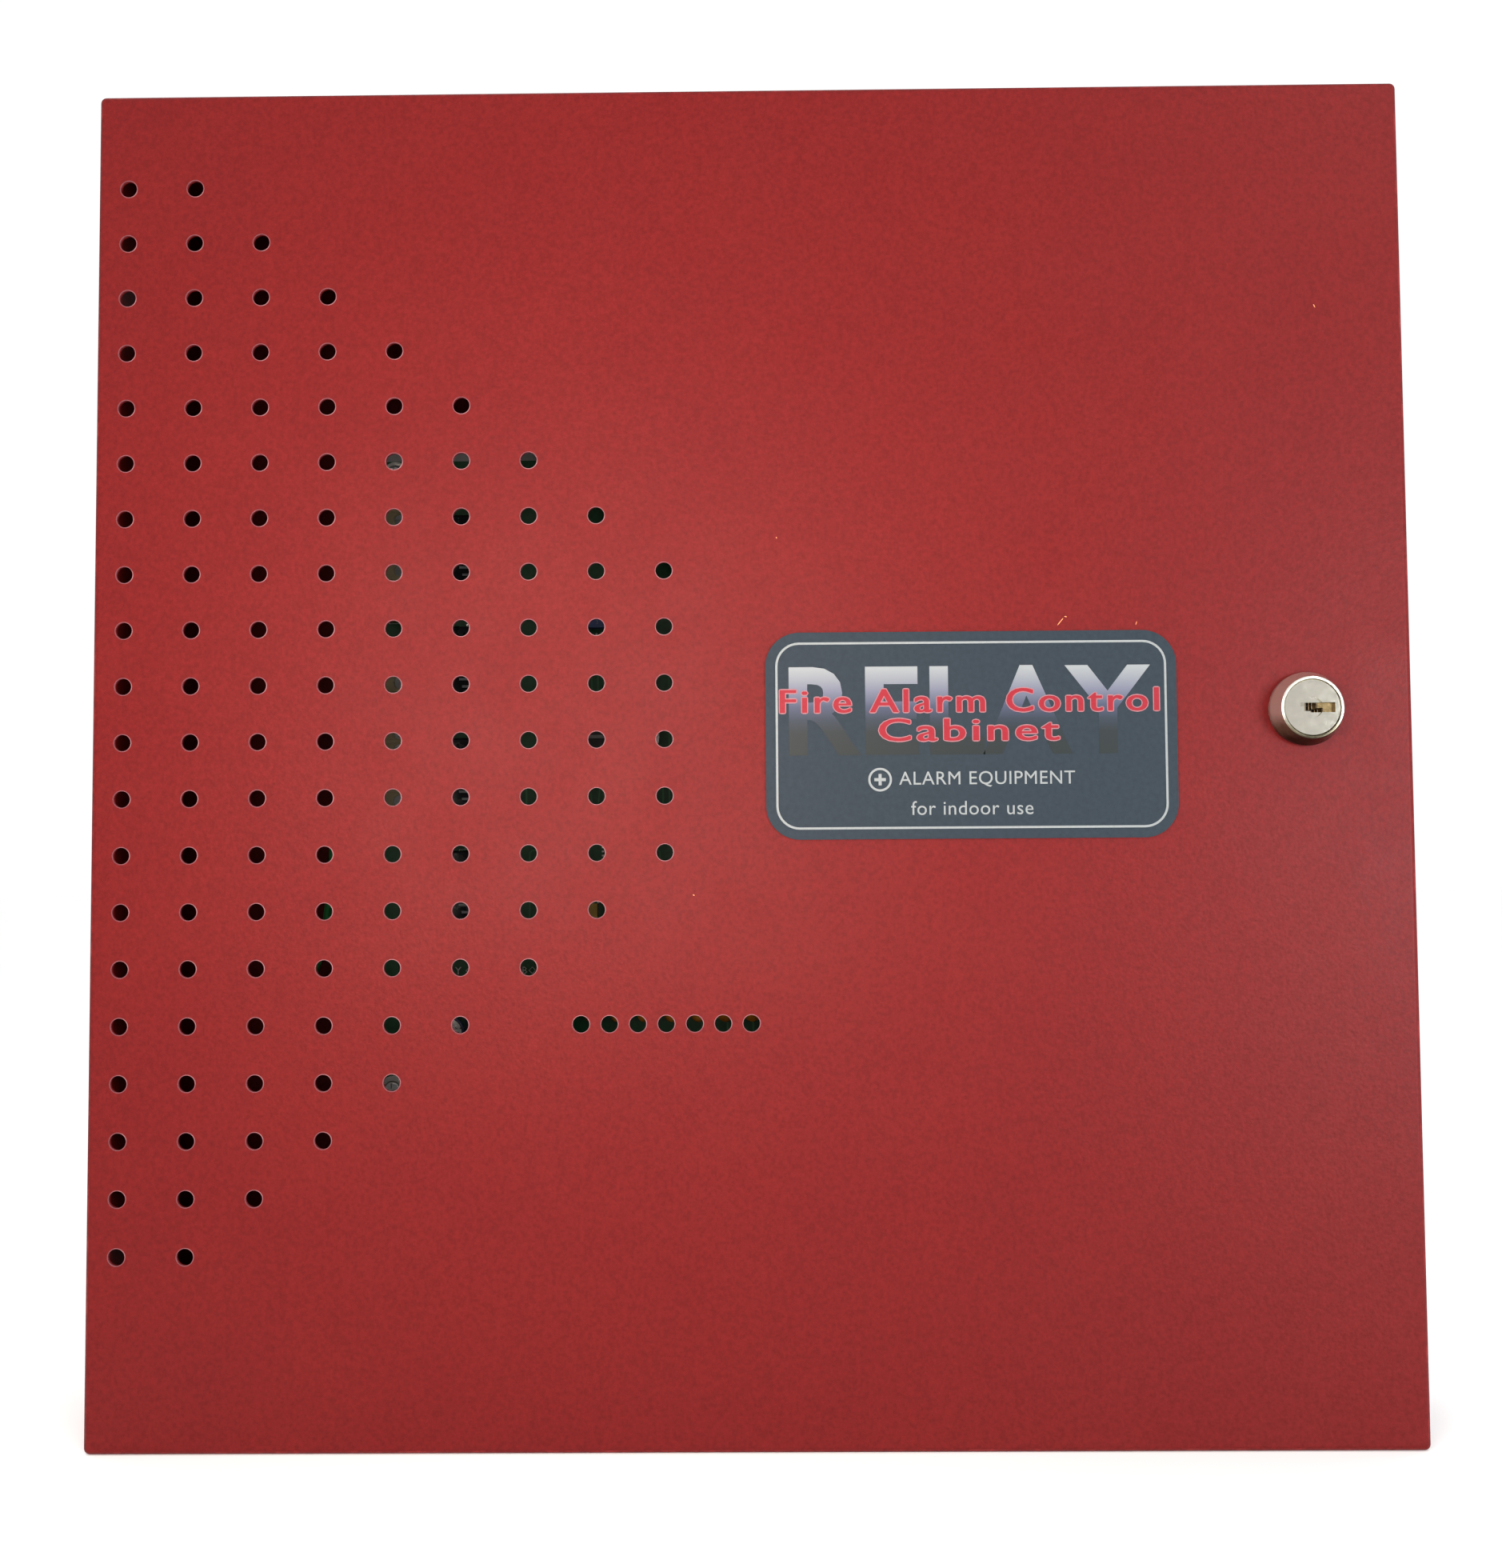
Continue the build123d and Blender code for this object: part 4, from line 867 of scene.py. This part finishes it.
body_paint, body_shader = surface("resistor_body", (0.5, 0.36, 0.2), 0.35)
stripe_place = node(body_paint, "SeparateXYZ",
        {0: place_on(body_paint, (1000 / 6, 1, 1000 / 6), (0, 0, -0.0893))}).outputs
stripe = ramp(
    body_paint, stripe_place[2],
    (0.0, (0.5, 0.36, 0.2)), (0.16, (0.35, 0.08, 0.02)), (0.26, (0.5, 0.36, 0.2)),
    (0.36, (0.04, 0.02, 0.06)),
    (0.46, (0.5, 0.36, 0.2)), (0.56, (0.45, 0.04, 0.02)), (0.66, (0.5, 0.36, 0.2)), (0.8, (0.6, 0.4, 0.08)),
    (0.9, (0.5, 0.36, 0.2)), interpolation="CONSTANT",
)
connect(body_paint, stripe, body_shader, "Base Color")
shape = bmesh.new()
for x, z in resistors:
    rod(shape, (x, top - 1.3, z - 3.0), (x, top - 1.3, z + 3.0), 1.0, 12)
    rod(shape, (x, top - 1.3, z - 3.0), (x, top - 1.3, z - 1.6), 1.2, 12)
    rod(shape, (x, top - 1.3, z + 1.6), (x, top - 1.3, z + 3.0), 1.2, 12)
bmesh.ops.bevel(shape, geom=shape.edges[:], offset=0.12 * MM, offset_type="OFFSET", segments=1, profile=0.5,
                affect="EDGES", material=-1)
piece("resistor_bodies", shape, body_paint, "cabinet")

can_tops = ((-91.825, -80.0, 5.0, 12.5), (-77.825, -80.0, 4.0, 11.0), (-65.825, -84.0, 4.0, 11.0))
shape = bmesh.new()
for x, z, radius, height in can_tops:
    rod(shape, (x, top - height + 0.1, z), (x, top - height - 0.05, z), radius - 0.9, 32)
piece(
    "capacitor_tops", shape, metal("capacitor_aluminium", (0.5, 0.5, 0.51), 0.3), "cabinet",
)
# A flat black cross on each can's top: painted shade where the stamped vent grooves would be.
shape = bmesh.new()
for x, z, radius, height in can_tops:
    reach = radius - 1.6
    face = top - height - 0.06
    slab(shape, Vector((x - reach, face, z - 0.15)) * MM, Vector((x + reach, face + 0.03, z + 0.15)) * MM)
    slab(shape, Vector((x - 0.15, face, z - reach)) * MM, Vector((x + 0.15, face + 0.03, z + reach)) * MM)
piece("capacitor_vent_shade", shape, dull, "cabinet")
shape = bmesh.new()
for x, z, radius, height in can_tops:
    corner = Vector((x + radius - 0.02, top - 0.8, z)) * MM
    quad = slab(
        shape, corner - Vector((0.02, height - 1.6, 0.01)) * MM, corner + Vector((0.05, 0, 0.01)) * MM
    )
    start = [face for face in {face for vert in quad for face in vert.link_faces} if face.normal.z > 0.9]
    bmesh.ops.spin(
        shape, geom=start, cent=Vector((x, top, z)) * MM, axis=(0, 1, 0), angle=radians(50), steps=8
    )
piece("capacitor_stripes", shape, grey_ink, "cabinet")

shape = bmesh.new()
for x in (-56.325, -41.325):
    face = Vector((x, top - 3.62, -24.0)) * MM
    border(shape, face + Vector((0, 0, 8.2 * MM)), 1.6 * MM, 1.6 * MM, 0.75 * MM, 0.2 * MM)
    for line, width in ((-0.8, 4.6), (0.8, 4.0)):
        low = face + Vector((-width / 2, 0, line * 2 - 0.4)) * MM
        slab(shape, low, low + Vector((width, 0.02, 0.7)) * MM)
face = Vector((-48.825, top - 3.82, 12.0)) * MM
border(shape, face + Vector((-7.0 * MM, 0, 7.0 * MM)), 2.0 * MM, 2.0 * MM, 0.95 * MM, 0.2 * MM)
for line, width in ((2.4, 9.0), (0.0, 11.0), (-2.4, 7.5)):
    low = face + Vector((-width / 2, 0, line - 0.5)) * MM
    slab(shape, low, low + Vector((width, 0.02, 1.0)) * MM)
piece("chip_print", shape, grey_ink, "cabinet")

# ---- Status lights
# Seven lamps behind the door's row of small holes: amber tinted resin domes on black spacers.
amber, amber_shader = surface(
    "amber_resin", (0.55, 0.2, 0.02), 0.12, {"Transmission Weight": 0.35, "IOR": 1.5, "Coat Weight": 0.5}
)
connect(
    amber,
    ramp(amber, grain(amber, 0.002), (0.3, (0.5, 0.17, 0.015)), (0.7, (0.62, 0.25, 0.03))),
    amber_shader, "Base Color",
)
dress(["status_lights"], amber)

# ---- Switches
# Blue switch bodies with white dials and slide buttons. The bodies are printed in white.
blue, blue_shader = surface("switch_blue", (0.02, 0.07, 0.26), 0.4)
connect(
    blue,
    ramp(blue, grain(blue, 0.003), (0.3, (0.017, 0.06, 0.23)), (0.7, (0.026, 0.085, 0.3))),
    blue_shader, "Base Color",
)
relief(blue, blue_shader, grain(blue, 0.0003), 0.000008)
white, white_shader = surface("switch_white", (0.6, 0.59, 0.55), 0.38)
connect(
    white,
    ramp(white, grain(white, 0.002), (0.3, (0.56, 0.55, 0.51)), (0.7, (0.64, 0.63, 0.59))),
    white_shader, "Base Color",
)
dress(["address_switches", "dip_body"], blue)
dress(
    ["address_dial_tens", "address_dial_ones", "dip_slider_1", "dip_slider_2", "dip_slider_3",
    "dip_slider_4"], white
)
shape = bmesh.new()
dip_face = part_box("dip_body")[0].y
for way in range(4):
    place = Vector(((-48.825 + (way - 1.5) * 2.54) * MM, dip_face, 45.2 * MM))
    letters(shape, str(way + 1), place, 1.3 * MM, smooth=2)
piece("dip_print", shape, white_ink, "cabinet")

# ---- Ribbon link
# Ten-way grey ribbon cable with a rounded ridge over each wire and a red stripe along one edge.
ribbon_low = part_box("link_ribbon")[0]
ribbon, ribbon_shader = surface("ribbon", (0.36, 0.37, 0.38), 0.5)
place = place_on(ribbon, (1, 1, 1 / 0.00127), (0, 0, ribbon_low.z))
across = node(ribbon, "SeparateXYZ", {0: place}).outputs[2]
ridge = math(ribbon, "ABSOLUTE", math(ribbon, "SINE", math(ribbon, "MULTIPLY", across, pi)))
# Darker grey in the grooves between the wires and paler on the ridges: painted shade and painted highlight.
grey = mix(ribbon, ridge, (0.2, 0.205, 0.21), (0.42, 0.43, 0.44))
grey = mix(ribbon, 1.0, grey, ramp(ribbon, grain(ribbon, 0.003), (0.3, 0.92), (0.7, 1.06)), "MULTIPLY")
grey = mix(ribbon, math(ribbon, "GREATER_THAN", across, 9.0), grey, (0.5, 0.03, 0.03))
connect(ribbon, grey, ribbon_shader, "Base Color")
relief(ribbon, ribbon_shader, ridge, 0.0003)
dress(["link_ribbon"], ribbon)

# ---- Earth connection
# Green wire crimped in a zinc-plated ring terminal, under a nut and washers on the stud in the backbox.
insulation, insulation_shader = surface("insulation", (0.02, 0.24, 0.06), 0.4)
connect(
    insulation,
    ramp(insulation, grain(insulation, 0.004), (0.3, (0.016, 0.2, 0.05)), (0.7, (0.028, 0.28, 0.075))),
    insulation_shader, "Base Color",
)
relief(insulation, insulation_shader, grain(insulation, 0.0006), 0.00001)
dress(["earth_wire"], insulation)
dress(["earth_stud", "earth_nut"], steel)
dress(["earth_washers", "earth_ring_terminal"], zinc)

size = {
    "cad": [list(corner) for corner in cad_box],
    "visual": [list(corner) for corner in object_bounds()],
}
